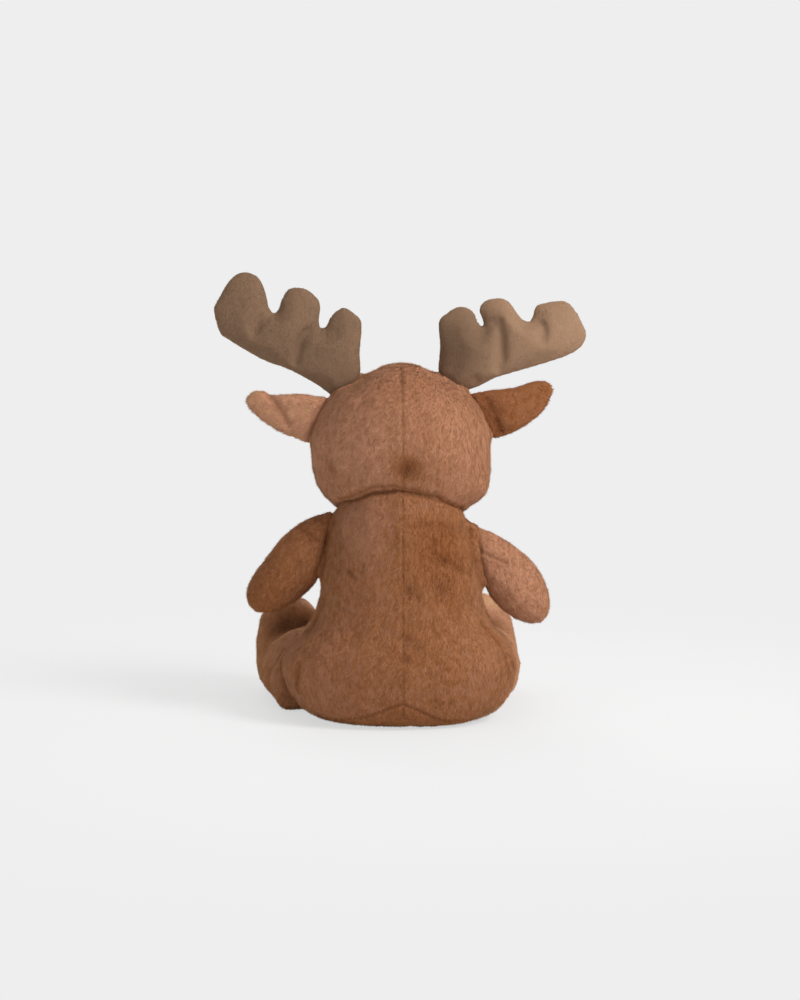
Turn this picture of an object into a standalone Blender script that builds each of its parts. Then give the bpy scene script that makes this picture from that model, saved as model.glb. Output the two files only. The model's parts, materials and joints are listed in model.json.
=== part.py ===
"""Plush deer that sits on the floor, 300 mm tall with its antlers.

The deer faces -Y and its own left side is +X. Every stuffed part is a sewn fabric cover, cut into panels
at its seams, round a fibre filling. The head nods on the rounded top of the body. The arms, legs, ears and
antlers each turn about the line where they are sewn on, and that edge is a round rod in a matching groove.
"""

import math

import bmesh
import bpy
from mathutils import Matrix, Vector

MM = 0.001

# Fabric, seams and clearances
FABRIC = 1.6 * MM
GAP = 0.3 * MM
FILLING_GAP = 0.5 * MM
SEAM = 0.4 * MM
FLOOR_CUT = 3.0 * MM
OVERRUN = 200.0 * MM
LEFT = 1
RIGHT = -1
SIDES = {"left": LEFT, "right": RIGHT}

# Body
TORSO_HEIGHT = 158.0 * MM
HIP_HALF_WIDTH = 81.5 * MM
BELLY_HALF_DEPTH = 54.0 * MM
TORSO_Y = 37.8 * MM
TORSO_SEGMENTS = 8
# height, half width and half depth of each ring
TORSO_RING_SHARES = (
    (0.010, 0.68, 0.72),
    (0.085, 0.90, 0.92),
    (0.210, 1.00, 1.00),
    (0.315, 0.95, 1.00),
    (0.400, 0.79, 0.94),
    (0.530, 0.685, 0.91),
    (0.760, 0.600, 0.87),
    (0.924, 0.42, 0.63),
)
SEAT_SEAM_HEIGHT = 9.0 * MM

# Neck: the rounded top of the body that the head sits on
NECK_HEIGHT = 130.0 * MM
NECK_RADIUS = 48.0 * MM
NECK_HALF_WIDTH = 45.0 * MM
NECK_GAP = 0.6 * MM
NECK_SEGMENTS = 24
NECK_RINGS = 6

# Head
HEAD_BASE = 134.0 * MM
HEAD_HEIGHT = 105.0 * MM
HEAD_HALF_WIDTH = 61.5 * MM
HEAD_HALF_DEPTH = 53.0 * MM
HEAD_FORWARD = 7.0 * MM
HEAD_SEGMENTS = 8
HEAD_RING_SHARES = (
    (0.038, 0.54, 0.54),
    (0.150, 0.86, 0.83),
    (0.320, 0.985, 0.97),
    (0.520, 1.00, 1.00),
    (0.698, 0.880, 0.943),
    (0.835, 0.67, 0.78),
    (0.943, 0.36, 0.49),
)
HEAD_MIDDLE_SHARE = 0.5
CROWN_SEAM_BACK = 5.0 * MM
GUSSET_HALF_WIDTH = 15.0 * MM

# Muzzle, eyes and nose
MUZZLE_HEIGHT_SHARE = 0.28
MUZZLE_HALF_WIDTH = 25.0 * MM
MUZZLE_HALF_HEIGHT = 20.0 * MM
MUZZLE_HALF_DEPTH = 26.0 * MM
MUZZLE_SINK = 6.0 * MM
MUZZLE_SEGMENTS = 12
MUZZLE_RINGS = 8
EYE_SPREAD = 23.0 * MM
EYE_HEIGHT_SHARE = 0.60
EYE_HALF_SIZES = (6.5 * MM, 6.5 * MM, 4.2 * MM)
NOSE_HEIGHT_SHARE = 0.36
NOSE_HALF_SIZES = (9.0 * MM, 6.0 * MM, 4.5 * MM)
BUTTON_SEGMENTS = 10
BUTTON_RINGS = 6
STEM_RADIUS = 2.0 * MM
STEM_LENGTH = 14.0 * MM
WASHER_RADIUS = 5.2 * MM
WASHER_THICKNESS = 1.8 * MM
WASHER_DEPTH = 5.6 * MM

# Arms: each is sewn on along a steep seam at the side of the body
ARM_SEAM_TOP_SHARE = 0.872
ARM_SEAM_BOTTOM_SHARE = 0.615
RIGHT_SHOULDER_DROP = 6.5 * MM
ARM_LENGTH = 41.0 * MM
ARM_DROP = 57.0 * MM
ARM_HALF_WIDTH = 19.5 * MM
ARM_HALF_THICKNESS = 17.5 * MM
ARM_ROOT_RADIUS = 8.0 * MM
ARM_FORWARD_DEGREES = 20.0
ARM_SEGMENTS = 6
# out, drop, half width, half thickness, and how far the ring leans, in degrees
ARM_RING_SHARES = (
    (0.00, 0.00, 1.06, 0.60, 8.0),
    (0.30, 0.20, 1.02, 0.92, 36.0),
    (0.62, 0.56, 0.98, 1.00, 50.0),
    (0.88, 0.85, 0.72, 0.82, 54.0),
)
ARM_START_SHARES = (-0.08, -0.02)
ARM_BACK_LIMIT = 15.0
ARM_FRONT_LIMIT = 30.0

# Legs: each lies forward on the floor with its foot up
HIP_X_SHARE = 0.68
HIP_FORWARD_SHARE = 0.60
LEG_ROOT_RADIUS = 16.0 * MM
LEG_ROOT_HEIGHT = 34.0 * MM
LEG_ROOT_LIFT = 6.0 * MM
LEG_LENGTH = 98.0 * MM
LEG_HALF_WIDTH = 26.0 * MM
FOOT_HEIGHT = 71.0 * MM
LEFT_LEG_SPLAY_DEGREES = 14.0
RIGHT_LEG_SPLAY_DEGREES = 4.0
LEG_SEGMENTS = 6
# along, half width, half height, and height of the middle
LEG_RING_SHARES = (
    (0.03, 1.16, 0.400, 0.393),
    (0.45, 1.08, 0.400, 0.393),
    (0.86, 1.02, 0.490, 0.495),
    (0.98, 0.68, 0.370, 0.520),
)
LEG_START_SHARE = -0.22
LEG_END_HEIGHT_SHARE = 0.52
SOLE_SEAM_SHARE = 0.90
LEG_IN_LIMIT = 5.0
LEG_OUT_LIMIT = 12.0

# Ears: two layers of fabric, sewn to the side of the head
EAR_TOP_DEGREES = 29.5
EAR_BOTTOM_DEGREES = 0.0
EAR_LENGTH = 50.5 * MM
EAR_HALF_WIDTH = 16.0 * MM
EAR_HALF_THICKNESS = 3.4 * MM
EAR_ROOT_RADIUS = 3.2 * MM
EAR_SEGMENTS = 4
# out, middle up (shares of the half width), half width and half thickness
EAR_RING_SHARES = (
    (0.00, 0.00, 1.02, 0.94),
    (0.30, -0.16, 0.93, 1.00),
    (0.58, -0.35, 0.72, 0.95),
    (0.84, -0.38, 0.45, 0.80),
)
EAR_START_SHARE = -0.03
EAR_TIP_UP_SHARE = -0.36
EAR_FORWARD_DEGREES = 8.0
RIGHT_EAR_RAISE_DEGREES = 7.0
EAR_BACK_LIMIT = 20.0
EAR_FRONT_LIMIT = 35.0

# Antlers: stuffed flat, each with an outer lobe, a middle tine and an inner tine
ANTLER_TOP_DEGREES = 60.0
ANTLER_BOTTOM_DEGREES = 37.0
ANTLER_SPAN = 88.0 * MM
ANTLER_PALM_HALF_WIDTH = 17.0 * MM
ANTLER_HALF_THICKNESS = 9.0 * MM
ANTLER_ROOT_RADIUS = 7.0 * MM
TINE_BACK = 1.0 * MM
ANTLER_SEGMENTS = 4
ANTLER_BACK_LIMIT = 12.0
ANTLER_FRONT_LIMIT = 12.0
# out and up (shares of the span), half width, half thickness, and the ring's heading in degrees
LEFT_BEAM_SHARES = (
    (0.000, 0.000, 0.70, 0.78, 54.0),
    (0.225, 0.225, 1.00, 0.97, 39.0),
    (0.450, 0.315, 1.02, 1.00, 27.0),
    (0.660, 0.410, 1.06, 1.00, 44.0),
    (0.805, 0.580, 1.08, 0.98, 72.0),
    (0.800, 0.760, 0.72, 0.75, 95.0),
)
LEFT_BEAM_END_SHARES = (-0.05, -0.07, 0.780, 0.850)
LEFT_INNER_TINE_SHARES = (
    (0.024, 0.240, 0.62, 0.84, 88.0),
    (0.034, 0.410, 0.67, 0.88, 90.0),
    (0.030, 0.510, 0.55, 0.68, 90.0),
)
LEFT_INNER_TINE_END_SHARES = (0.016, 0.100, 0.032, 0.585)
LEFT_MIDDLE_TINE_SHARES = (
    (0.347, 0.430, 0.74, 0.90, 91.0),
    (0.366, 0.635, 0.63, 0.76, 92.0),
)
LEFT_MIDDLE_TINE_END_SHARES = (0.328, 0.205, 0.371, 0.725)
RIGHT_BEAM_SHARES = (
    (0.000, 0.000, 0.70, 0.78, 54.0),
    (0.220, 0.206, 0.97, 0.97, 34.0),
    (0.450, 0.277, 0.94, 1.00, 16.0),
    (0.640, 0.325, 0.97, 1.00, 20.0),
    (0.820, 0.405, 1.08, 0.98, 20.0),
    (0.955, 0.440, 0.76, 0.78, 5.0),
)
RIGHT_BEAM_END_SHARES = (-0.05, -0.07, 1.000, 0.443)
RIGHT_INNER_TINE_SHARES = (
    (0.030, 0.220, 0.62, 0.84, 87.0),
    (0.050, 0.400, 0.75, 0.88, 88.0),
    (0.052, 0.494, 0.60, 0.68, 90.0),
)
RIGHT_INNER_TINE_END_SHARES = (0.015, 0.050, 0.052, 0.574)
RIGHT_MIDDLE_TINE_SHARES = (
    (0.380, 0.390, 0.76, 0.90, 100.0),
    (0.340, 0.560, 0.62, 0.76, 103.0),
)
RIGHT_MIDDLE_TINE_END_SHARES = (0.395, 0.240, 0.323, 0.641)

# Inside the seat
POUCH_HALF_SIZES = (30.0 * MM, 22.0 * MM, 11.0 * MM)
POUCH_BACK = 5.0 * MM
POUCH_SEGMENTS = 10
POUCH_RINGS = 6

# Detail of the round edges, how often a form is fitted to its rings, and what is too little to be kept
WASHER_SIDES = 12
STEM_SIDES = 8
ROD_SMOOTHNESS = 1.2
FIT_ROUNDS = 4
CRUMB_SHARE = 0.03

# Colours, roughness
BROWN_PLUSH = ((0.33, 0.125, 0.062), 0.95)
TAN_PLUSH = ((0.55, 0.33, 0.19), 0.95)
TAUPE_PLUSH = ((0.21, 0.135, 0.085), 0.95)
FIBRE = ((0.85, 0.84, 0.80), 1.0)
BEAD_CLOTH = ((0.75, 0.72, 0.65), 0.9)
BLACK_PLASTIC = ((0.012, 0.010, 0.009), 0.15)
CLEAR_PLASTIC = ((0.78, 0.78, 0.76), 0.5)


def clear_scene():
    for obj in list(bpy.data.objects):
        bpy.data.objects.remove(obj, do_unlink=True)


def new_collection(name):
    collection = bpy.data.collections.new(name)
    bpy.context.scene.collection.children.link(collection)
    return collection


def new_material(name, look):
    colour, roughness = look
    material = bpy.data.materials.new(name)
    material.use_nodes = True
    shader = material.node_tree.nodes["Principled BSDF"]
    shader.inputs["Base Color"].default_value = (*colour, 1.0)
    shader.inputs["Roughness"].default_value = roughness
    shader.inputs["Metallic"].default_value = 0.0
    material.diffuse_color = (*colour, 1.0)
    return material


def form_object(name, bm):
    """A helper shape, left out of renders."""
    bm.normal_update()
    bmesh.ops.recalc_face_normals(bm, faces=bm.faces)
    mesh = bpy.data.meshes.new(name)
    bm.to_mesh(mesh)
    bm.free()
    obj = bpy.data.objects.new(name, mesh)
    bpy.data.collections["deer_forms"].objects.link(obj)
    obj.hide_render = True
    obj.display_type = "WIRE"
    return obj


def evaluated(obj):
    bpy.context.view_layer.update()
    return obj.evaluated_get(bpy.context.evaluated_depsgraph_get())


def settle(obj):
    """Applies the object's modifiers to its mesh."""
    mesh = bpy.data.meshes.new_from_object(evaluated(obj))
    obj.modifiers.clear()
    old = obj.data
    obj.data = mesh
    bpy.data.meshes.remove(old)


def copy_form(form, name):
    obj = form.copy()
    obj.name = name
    obj.data = form.data.copy()
    bpy.data.collections["deer_forms"].objects.link(obj)
    return obj


def boolean(obj, tool, operation):
    """Applies one Boolean with a tool that is used up.

    The covers nearly touch their cutters along the sewn edges, where the EXACT solver leaves open edges
    and MANIFOLD does not.
    """
    modifier = obj.modifiers.new(operation.lower(), "BOOLEAN")
    modifier.operation = operation
    modifier.solver = "MANIFOLD"
    modifier.object = tool
    settle(obj)
    bpy.data.objects.remove(tool, do_unlink=True)


def join(obj, tool):
    boolean(obj, tool, "UNION")


def cut(obj, tool):
    boolean(obj, tool, "DIFFERENCE")


def keep(obj, tool):
    boolean(obj, tool, "INTERSECT")


def grown(form, amount):
    """A copy of the form, larger all round by the amount, or smaller where it is negative."""
    obj = copy_form(form, form.name + "_grown")
    if amount:
        modifier = obj.modifiers.new("grow", "DISPLACE")
        modifier.direction = "NORMAL"
        modifier.mid_level = 0.0
        modifier.strength = amount
        settle(obj)
    return obj


def block(low, high, frame=None):
    """A box between two corners, in the frame's own directions."""
    low = Vector(low)
    high = Vector(high)
    bm = bmesh.new()
    place = Matrix.Translation((low + high) / 2) @ Matrix.Diagonal((*(high - low), 1.0))
    bmesh.ops.create_cube(bm, size=1.0, matrix=(frame or Matrix()) @ place)
    return form_object("block", bm)


def rod(frame, radius, length, sides):
    """A cylinder along the frame's Z, centred on its origin."""
    bm = bmesh.new()
    bmesh.ops.create_cone(
        bm,
        cap_ends=True,
        segments=sides,
        radius1=radius,
        radius2=radius,
        depth=length,
        matrix=frame,
    )
    return form_object("rod", bm)


def ball(frame, half_sizes, segments, rings):
    """An ellipsoid centred on the frame's origin."""
    bm = bmesh.new()
    bmesh.ops.create_uvsphere(
        bm,
        u_segments=segments,
        v_segments=rings,
        radius=1.0,
        matrix=frame @ Matrix.Diagonal((*half_sizes, 1.0)),
    )
    return form_object("ball", bm)


def ring_form(name, rings, ends, segments, frame=None):
    """A stuffed form: a sphere whose rings are moved onto ellipses, rounded by subdivision.

    Each ring is its middle and two half axes. The cage is fitted so that the rounded surface passes
    through the rings.
    """
    frame = frame or Matrix()
    bm = bmesh.new()
    steps = len(rings) + 1
    bmesh.ops.create_uvsphere(bm, u_segments=segments, v_segments=steps, radius=1.0)
    for vert in bm.verts:
        ring = round(math.acos(max(-1.0, min(1.0, vert.co.z))) * steps / math.pi)
        turn = math.atan2(vert.co.y, vert.co.x)
        if ring == 0:
            point = Vector(ends[0])
        elif ring == steps:
            point = Vector(ends[1])
        else:
            middle, across, through = (Vector(part) for part in rings[ring - 1])
            point = middle + across * math.cos(turn) + through * math.sin(turn)
        vert.co = frame @ point
    obj = form_object(name, bm)
    modifier = obj.modifiers.new("round", "SUBSURF")
    modifier.levels = 1
    modifier.render_levels = 1
    wanted = [vert.co.copy() for vert in obj.data.vertices]
    for _ in range(FIT_ROUNDS):
        rounded = evaluated(obj).data.vertices
        moves = [goal - rounded[index].co for index, goal in enumerate(wanted)]
        for vert, move in zip(obj.data.vertices, moves):
            vert.co += move
        obj.data.update()
    settle(obj)
    return obj


def surface_point(form, start, direction):
    """Where a line meets the form, and the form's normal there."""
    hit, point, normal, _ = evaluated(form).ray_cast(Vector(start), Vector(direction))
    if not hit:
        raise ValueError("the line misses " + form.name)
    return point, normal


def frame_from(origin, x_axis, z_axis):
    """A placement with the given Z, and X as near as it can be to the given one."""
    z_axis = z_axis.normalized()
    x_axis = (x_axis - z_axis * x_axis.dot(z_axis)).normalized()
    y_axis = z_axis.cross(x_axis)
    frame = Matrix((x_axis, y_axis, z_axis)).transposed().to_4x4()
    frame.translation = origin
    return frame


def turned(obj, frame, degrees):
    """Turns a form about the frame's Z axis."""
    turn = frame @ Matrix.Rotation(math.radians(degrees), 4, "Z") @ frame.inverted()
    obj.data.transform(turn)
    return obj


def shared_frame(side, top, bottom, lean_degrees):
    """The placement of a sewn edge: Z runs up it, X points away from the deer's middle."""
    outward = Matrix.Rotation(math.radians(-lean_degrees * side), 3, "Z") @ Vector((side, 0, 0))
    return frame_from((top + bottom) / 2, outward, top - bottom)


def torso_rings():
    return [
        (
            (0, TORSO_Y, height * TORSO_HEIGHT),
            (width * HIP_HALF_WIDTH, 0, 0),
            (0, depth * BELLY_HALF_DEPTH, 0),
        )
        for height, width, depth in TORSO_RING_SHARES
    ]


def head_y():
    return TORSO_Y - HEAD_FORWARD


def head_rings():
    return [
        (
            (0, head_y(), HEAD_BASE + height * HEAD_HEIGHT),
            (width * HEAD_HALF_WIDTH, 0, 0),
            (0, depth * HEAD_HALF_DEPTH, 0),
        )
        for height, width, depth in HEAD_RING_SHARES
    ]


def flat_ring(out, up, half_width, half_thickness, heading):
    """A ring of a limb that lies in its frame's XZ plane and heads that many degrees up from X."""
    angle = math.radians(heading)
    across = Vector((-math.sin(angle), 0, math.cos(angle))) * half_width
    return ((out, 0, up), across, (0, half_thickness, 0))


def arm_rings():
    return [
        flat_ring(
            out * ARM_LENGTH,
            -drop * ARM_DROP,
            width * ARM_HALF_WIDTH,
            thickness * ARM_HALF_THICKNESS,
            -lean,
        )
        for out, drop, width, thickness, lean in ARM_RING_SHARES
    ]


def leg_rings():
    return [
        (
            (along * LEG_LENGTH, 0, middle * FOOT_HEIGHT - leg_frame_height()),
            (0, width * LEG_HALF_WIDTH, 0),
            (0, 0, height * FOOT_HEIGHT),
        )
        for along, width, height, middle in LEG_RING_SHARES
    ]


def leg_frame_height():
    return LEG_ROOT_LIFT + LEG_ROOT_HEIGHT / 2


def ear_rings():
    return [
        flat_ring(
            out * EAR_LENGTH,
            up * EAR_HALF_WIDTH,
            width * EAR_HALF_WIDTH,
            thickness * EAR_HALF_THICKNESS,
            0.0,
        )
        for out, up, width, thickness in EAR_RING_SHARES
    ]


def antler_rings(shares):
    return [
        flat_ring(
            out * ANTLER_SPAN,
            up * ANTLER_SPAN,
            width * ANTLER_PALM_HALF_WIDTH,
            thickness * ANTLER_HALF_THICKNESS,
            heading,
        )
        for out, up, width, thickness, heading in shares
    ]


def antler_ends(shares):
    start_out, start_up, end_out, end_up = (share * ANTLER_SPAN for share in shares)
    return ((start_out, 0, start_up), (end_out, 0, end_up))


class Root:
    """The sewn edge of a limb, ear or antler: a rod in a groove of what it is sewn to."""

    def __init__(self, frame, radius, length):
        self.frame = frame
        self.radius = radius
        self.length = length

    def sides(self):
        """An even number of sides, so many that the rod's corners turn clear of its groove."""
        half_side = math.acos(self.radius / (self.radius + GAP))
        return 2 * math.ceil(ROD_SMOOTHNESS * math.pi / half_side / 2)

    def grown(self, amount):
        return rod(self.frame, self.radius + amount, self.length + 2 * amount, self.sides())


def arm_root(side, torso):
    drop = RIGHT_SHOULDER_DROP if side == RIGHT else 0.0
    ends = [
        surface_point(
            torso,
            (side * OVERRUN, TORSO_Y, share * TORSO_HEIGHT - drop),
            (-side, 0, 0),
        )[0]
        for share in (ARM_SEAM_TOP_SHARE, ARM_SEAM_BOTTOM_SHARE)
    ]
    frame = shared_frame(side, ends[0], ends[1], ARM_FORWARD_DEGREES)
    return Root(frame, ARM_ROOT_RADIUS, (ends[0] - ends[1]).length)


def leg_root(side):
    hip = Vector(
        (
            side * HIP_X_SHARE * HIP_HALF_WIDTH,
            TORSO_Y - HIP_FORWARD_SHARE * BELLY_HALF_DEPTH,
            leg_frame_height(),
        )
    )
    splay = math.radians(LEFT_LEG_SPLAY_DEGREES if side == LEFT else RIGHT_LEG_SPLAY_DEGREES)
    forward = Vector((side * math.sin(splay), -math.cos(splay), 0))
    return Root(frame_from(hip, forward, Vector((0, 0, 1))), LEG_ROOT_RADIUS, LEG_ROOT_HEIGHT)


def head_root(side, head, top_degrees, bottom_degrees, radius, lean_degrees):
    """A sewn edge on the side of the head, between two directions from the head's middle."""
    middle = Vector((0, head_y(), HEAD_BASE + HEAD_MIDDLE_SHARE * HEAD_HEIGHT))
    ends = []
    for degrees in (top_degrees, bottom_degrees):
        angle = math.radians(degrees)
        outward = Vector((side * math.cos(angle), 0, math.sin(angle)))
        ends.append(surface_point(head, middle + outward * OVERRUN, -outward)[0])
    frame = shared_frame(side, ends[0], ends[1], lean_degrees)
    return Root(frame, radius, (ends[0] - ends[1]).length)


def neck_ball(amount):
    frame = Matrix.Translation((0, TORSO_Y, NECK_HEIGHT)) @ Matrix.Rotation(math.pi / 2, 4, "Y")
    sizes = (NECK_RADIUS + amount, NECK_RADIUS + amount, NECK_HALF_WIDTH + amount)
    return ball(frame, sizes, NECK_SEGMENTS, NECK_RINGS)


def muzzle_middle():
    front = head_y() - HEAD_HALF_DEPTH
    return Vector((0, front + MUZZLE_SINK, HEAD_BASE + MUZZLE_HEIGHT_SHARE * HEAD_HEIGHT))


def muzzle_ball(amount):
    sizes = (MUZZLE_HALF_WIDTH, MUZZLE_HALF_DEPTH, MUZZLE_HALF_HEIGHT)
    sizes = tuple(size + amount for size in sizes)
    return ball(Matrix.Translation(muzzle_middle()), sizes, MUZZLE_SEGMENTS, MUZZLE_RINGS)


def below_floor(amount):
    """Everything lower than the amount above the floor."""
    return block((-OVERRUN, -OVERRUN, -OVERRUN), (OVERRUN, OVERRUN, amount))


def torso_solid(torso, roots, inset):
    """The body, smaller all round by the inset."""
    solid = grown(torso, -inset)
    join(solid, neck_ball(-inset))
    for root in roots:
        cut(solid, root.grown(GAP + inset))
    cut(solid, below_floor(inset))
    return solid


def head_solid(head, roots, inset):
    solid = grown(head, -inset)
    join(solid, muzzle_ball(-inset))
    cut(solid, neck_ball(NECK_GAP + inset))
    for root in roots:
        cut(solid, root.grown(GAP + inset))
    return solid


def sewn_solid(forms, root, carrier, turns, inset):
    """A limb, ear or antler: its forms joined, cleared of its carrier at every turn, with its rod."""
    solid = grown(forms[0], -inset)
    for form in forms[1:]:
        join(solid, grown(form, -inset))
    for turn in turns:
        cut(solid, turned(grown(carrier, GAP + inset), root.frame, turn))
    join(solid, root.grown(-inset))
    return solid


def island_of(start):
    """The vertices that edges join to the given one."""
    island = {start}
    front = [start]
    while front:
        vert = front.pop()
        for edge in vert.link_edges:
            other = edge.other_vert(vert)
            if other not in island:
                island.add(other)
                front.append(other)
    return island


def volume_of(island):
    faces = {face for vert in island for face in vert.link_faces}
    return sum(
        face.normal.dot(face.calc_center_median()) * face.calc_area() for face in faces
    ) / 3


def drop_crumbs(obj):
    """Removes the crumbs that the cuts leave beside a piece."""
    bm = bmesh.new()
    bm.from_mesh(obj.data)
    islands = []
    seen = set()
    for vert in bm.verts:
        if vert not in seen:
            islands.append(island_of(vert))
            seen |= islands[-1]
    volumes = [volume_of(island) for island in islands]
    for island, volume in zip(islands, volumes):
        if abs(volume) < CRUMB_SHARE * max(volumes):
            bmesh.ops.delete(bm, geom=list(island), context="VERTS")
    bm.to_mesh(obj.data)
    bm.free()


def finish_piece(obj, name, material, joint_empty=None):
    """Makes a form one of the deer's pieces, with its origin on its joint."""
    drop_crumbs(obj)
    obj.name = name
    obj.hide_render = False
    obj.display_type = "TEXTURED"
    obj.data.materials.clear()
    obj.data.materials.append(material)
    obj.data.shade_smooth()
    bpy.data.collections["deer_forms"].objects.unlink(obj)
    bpy.data.collections["plush_deer"].objects.link(obj)
    if joint_empty:
        obj.parent = joint_empty
        obj.matrix_parent_inverse = joint_empty.matrix_world.inverted()
    return obj


def joint_empty(name, point):
    empty = bpy.data.objects.new(name, None)
    empty.location = point
    bpy.data.collections["plush_deer"].objects.link(empty)
    bpy.context.view_layer.update()
    return empty


def panel(name, outer, inner, material, region, without=(), carrier=None):
    """The part of a cover, between its outer and inner form, that lies in a region."""
    piece = copy_form(outer, name)
    keep(piece, region)
    for tool in without:
        cut(piece, tool)
    cut(piece, copy_form(inner, name + "_inside"))
    return finish_piece(piece, name, material, carrier)


def half_space(frame, axis, sign, offset=SEAM / 2):
    """The side of the frame's middle plane across the axis that the sign points to."""
    low = [-OVERRUN] * 3
    high = [OVERRUN] * 3
    if sign > 0:
        low[axis] = offset
    else:
        high[axis] = -offset
    return block(low, high, frame)


def button(name, frame, half_sizes, cover, material, washer_material, carrier):
    """An eye or nose: a dome with a stem through the cover, and the washer that holds it inside."""
    dome = ball(frame, half_sizes, BUTTON_SEGMENTS, BUTTON_RINGS)
    cut(dome, cover)
    stem_middle = frame @ Matrix.Translation((0, 0, -STEM_LENGTH / 2 + half_sizes[2] / 2))
    join(dome, rod(stem_middle, STEM_RADIUS, STEM_LENGTH + half_sizes[2], STEM_SIDES))
    finish_piece(dome, name, material, carrier)
    washer_frame = frame @ Matrix.Translation((0, 0, -WASHER_DEPTH - WASHER_THICKNESS / 2))
    washer = rod(washer_frame, WASHER_RADIUS, WASHER_THICKNESS, WASHER_SIDES)
    cut(washer, rod(washer_frame, STEM_RADIUS + GAP, OVERRUN, STEM_SIDES))
    finish_piece(washer, name + "_washer", washer_material, carrier)


def stem_hole(frame):
    """Room for a stem through the cover and on into the filling."""
    return rod(frame, STEM_RADIUS + GAP, 2 * (STEM_LENGTH + GAP), STEM_SIDES)


def washer_hole(frame):
    """Room for a washer, open towards the cover."""
    depth = WASHER_DEPTH + WASHER_THICKNESS + GAP
    return rod(frame, WASHER_RADIUS + GAP, 2 * depth, WASHER_SIDES)


def build_torso(torso, roots, materials):
    outer = torso_solid(torso, roots, 0.0)
    inner = torso_solid(torso, roots, FABRIC)
    brown = materials["brown_plush"]
    back = TORSO_Y + SEAM / 2
    front = TORSO_Y - SEAM / 2
    above_seat = SEAT_SEAM_HEIGHT + SEAM
    for name, side in SIDES.items():
        edges = sorted((side * SEAM / 2, side * OVERRUN))
        region = block((edges[0], back, above_seat), (edges[1], back + OVERRUN, OVERRUN))
        panel("torso_back_" + name, outer, inner, brown, region)
    region = block((-OVERRUN, front - OVERRUN, above_seat), (OVERRUN, front, OVERRUN))
    panel("belly_panel", outer, inner, materials["tan_plush"], region)
    region = block((-OVERRUN, -OVERRUN, -OVERRUN), (OVERRUN, OVERRUN, SEAT_SEAM_HEIGHT))
    panel("seat_panel", outer, inner, brown, region)

    floor = FABRIC + GAP
    pouch_middle = Vector((0, TORSO_Y + POUCH_BACK, floor + POUCH_HALF_SIZES[2] / 2))
    pouch_frame = Matrix.Translation(pouch_middle)
    pouch = ball(pouch_frame, POUCH_HALF_SIZES, POUCH_SEGMENTS, POUCH_RINGS)
    cut(pouch, below_floor(floor))
    finish_piece(pouch, "bead_pouch", materials["bead_cloth"])
    filling = torso_solid(torso, roots, FABRIC + FILLING_GAP)
    room = tuple(size + GAP for size in POUCH_HALF_SIZES)
    cut(filling, ball(pouch_frame, room, POUCH_SEGMENTS, POUCH_RINGS))
    finish_piece(filling, "torso_filling", materials["fibre"])
    for form in (outer, inner):
        bpy.data.objects.remove(form, do_unlink=True)


def build_head(head, roots, materials):
    empty = joint_empty("head_nod", (0, TORSO_Y, NECK_HEIGHT))
    outer = head_solid(head, roots, 0.0)
    inner = head_solid(head, roots, FABRIC)
    proud = head_solid(head, roots, -GAP)
    filling = head_solid(head, roots, FABRIC + FILLING_GAP)
    front_of_head = head_y() - OVERRUN
    buttons = []
    for name, x, share, sizes in (
        ("eye_left", EYE_SPREAD, EYE_HEIGHT_SHARE, EYE_HALF_SIZES),
        ("eye_right", -EYE_SPREAD, EYE_HEIGHT_SHARE, EYE_HALF_SIZES),
        ("nose", 0.0, NOSE_HEIGHT_SHARE, NOSE_HALF_SIZES),
    ):
        height = HEAD_BASE + share * HEAD_HEIGHT
        point, normal = surface_point(outer, (x, front_of_head, height), (0, 1, 0))
        frame = frame_from(point, Vector((1, 0, 0)), normal)
        buttons.append((name, frame, sizes))
    for name, frame, sizes in buttons:
        cut(outer, stem_hole(frame))
        cut(filling, stem_hole(frame))
        cut(filling, washer_hole(frame))
        button(
            name,
            frame,
            sizes,
            copy_form(proud, name + "_seat"),
            materials["black_plastic"],
            materials["clear_plastic"],
            empty,
        )
    finish_piece(filling, "head_filling", materials["fibre"], empty)

    brown = materials["brown_plush"]
    crown = head_y() + CROWN_SEAM_BACK
    muzzle = muzzle_middle()
    for name, side in SIDES.items():
        edges = sorted((side * SEAM / 2, side * OVERRUN))
        region = block((edges[0], crown + SEAM / 2, 0), (edges[1], crown + OVERRUN, 2 * OVERRUN))
        panel("head_back_" + name, outer, inner, brown, region, carrier=empty)

    def gusset_block(amount):
        return block(
            (
                -GUSSET_HALF_WIDTH - amount,
                crown - OVERRUN,
                NECK_HEIGHT + NECK_RADIUS + NECK_GAP + FABRIC + SEAM - amount,
            ),
            (GUSSET_HALF_WIDTH + amount, crown - SEAM / 2 + 2 * amount, 2 * OVERRUN),
        )

    def muzzle_block(amount):
        reach = amount + GAP
        return block(
            (
                -MUZZLE_HALF_WIDTH - reach,
                -OVERRUN,
                muzzle.z - MUZZLE_HALF_HEIGHT - reach,
            ),
            (
                MUZZLE_HALF_WIDTH + reach,
                muzzle.y - MUZZLE_SINK - SEAM + amount,
                muzzle.z + MUZZLE_HALF_HEIGHT + reach,
            ),
        )

    panel(
        "forehead_gusset",
        outer,
        inner,
        brown,
        gusset_block(0.0),
        without=[muzzle_block(SEAM)],
        carrier=empty,
    )
    panel("muzzle_panel", outer, inner, materials["tan_plush"], muzzle_block(0.0), carrier=empty)
    for name, side in SIDES.items():
        edges = sorted((side * SEAM / 2, side * OVERRUN))
        region = block(
            (edges[0], crown - OVERRUN, 0), (edges[1], crown - SEAM / 2, 2 * OVERRUN)
        )
        panel(
            "cheek_" + name,
            outer,
            inner,
            brown,
            region,
            without=[gusset_block(SEAM), muzzle_block(SEAM)],
            carrier=empty,
        )
    for form in (outer, inner, proud):
        bpy.data.objects.remove(form, do_unlink=True)
    return empty


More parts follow.
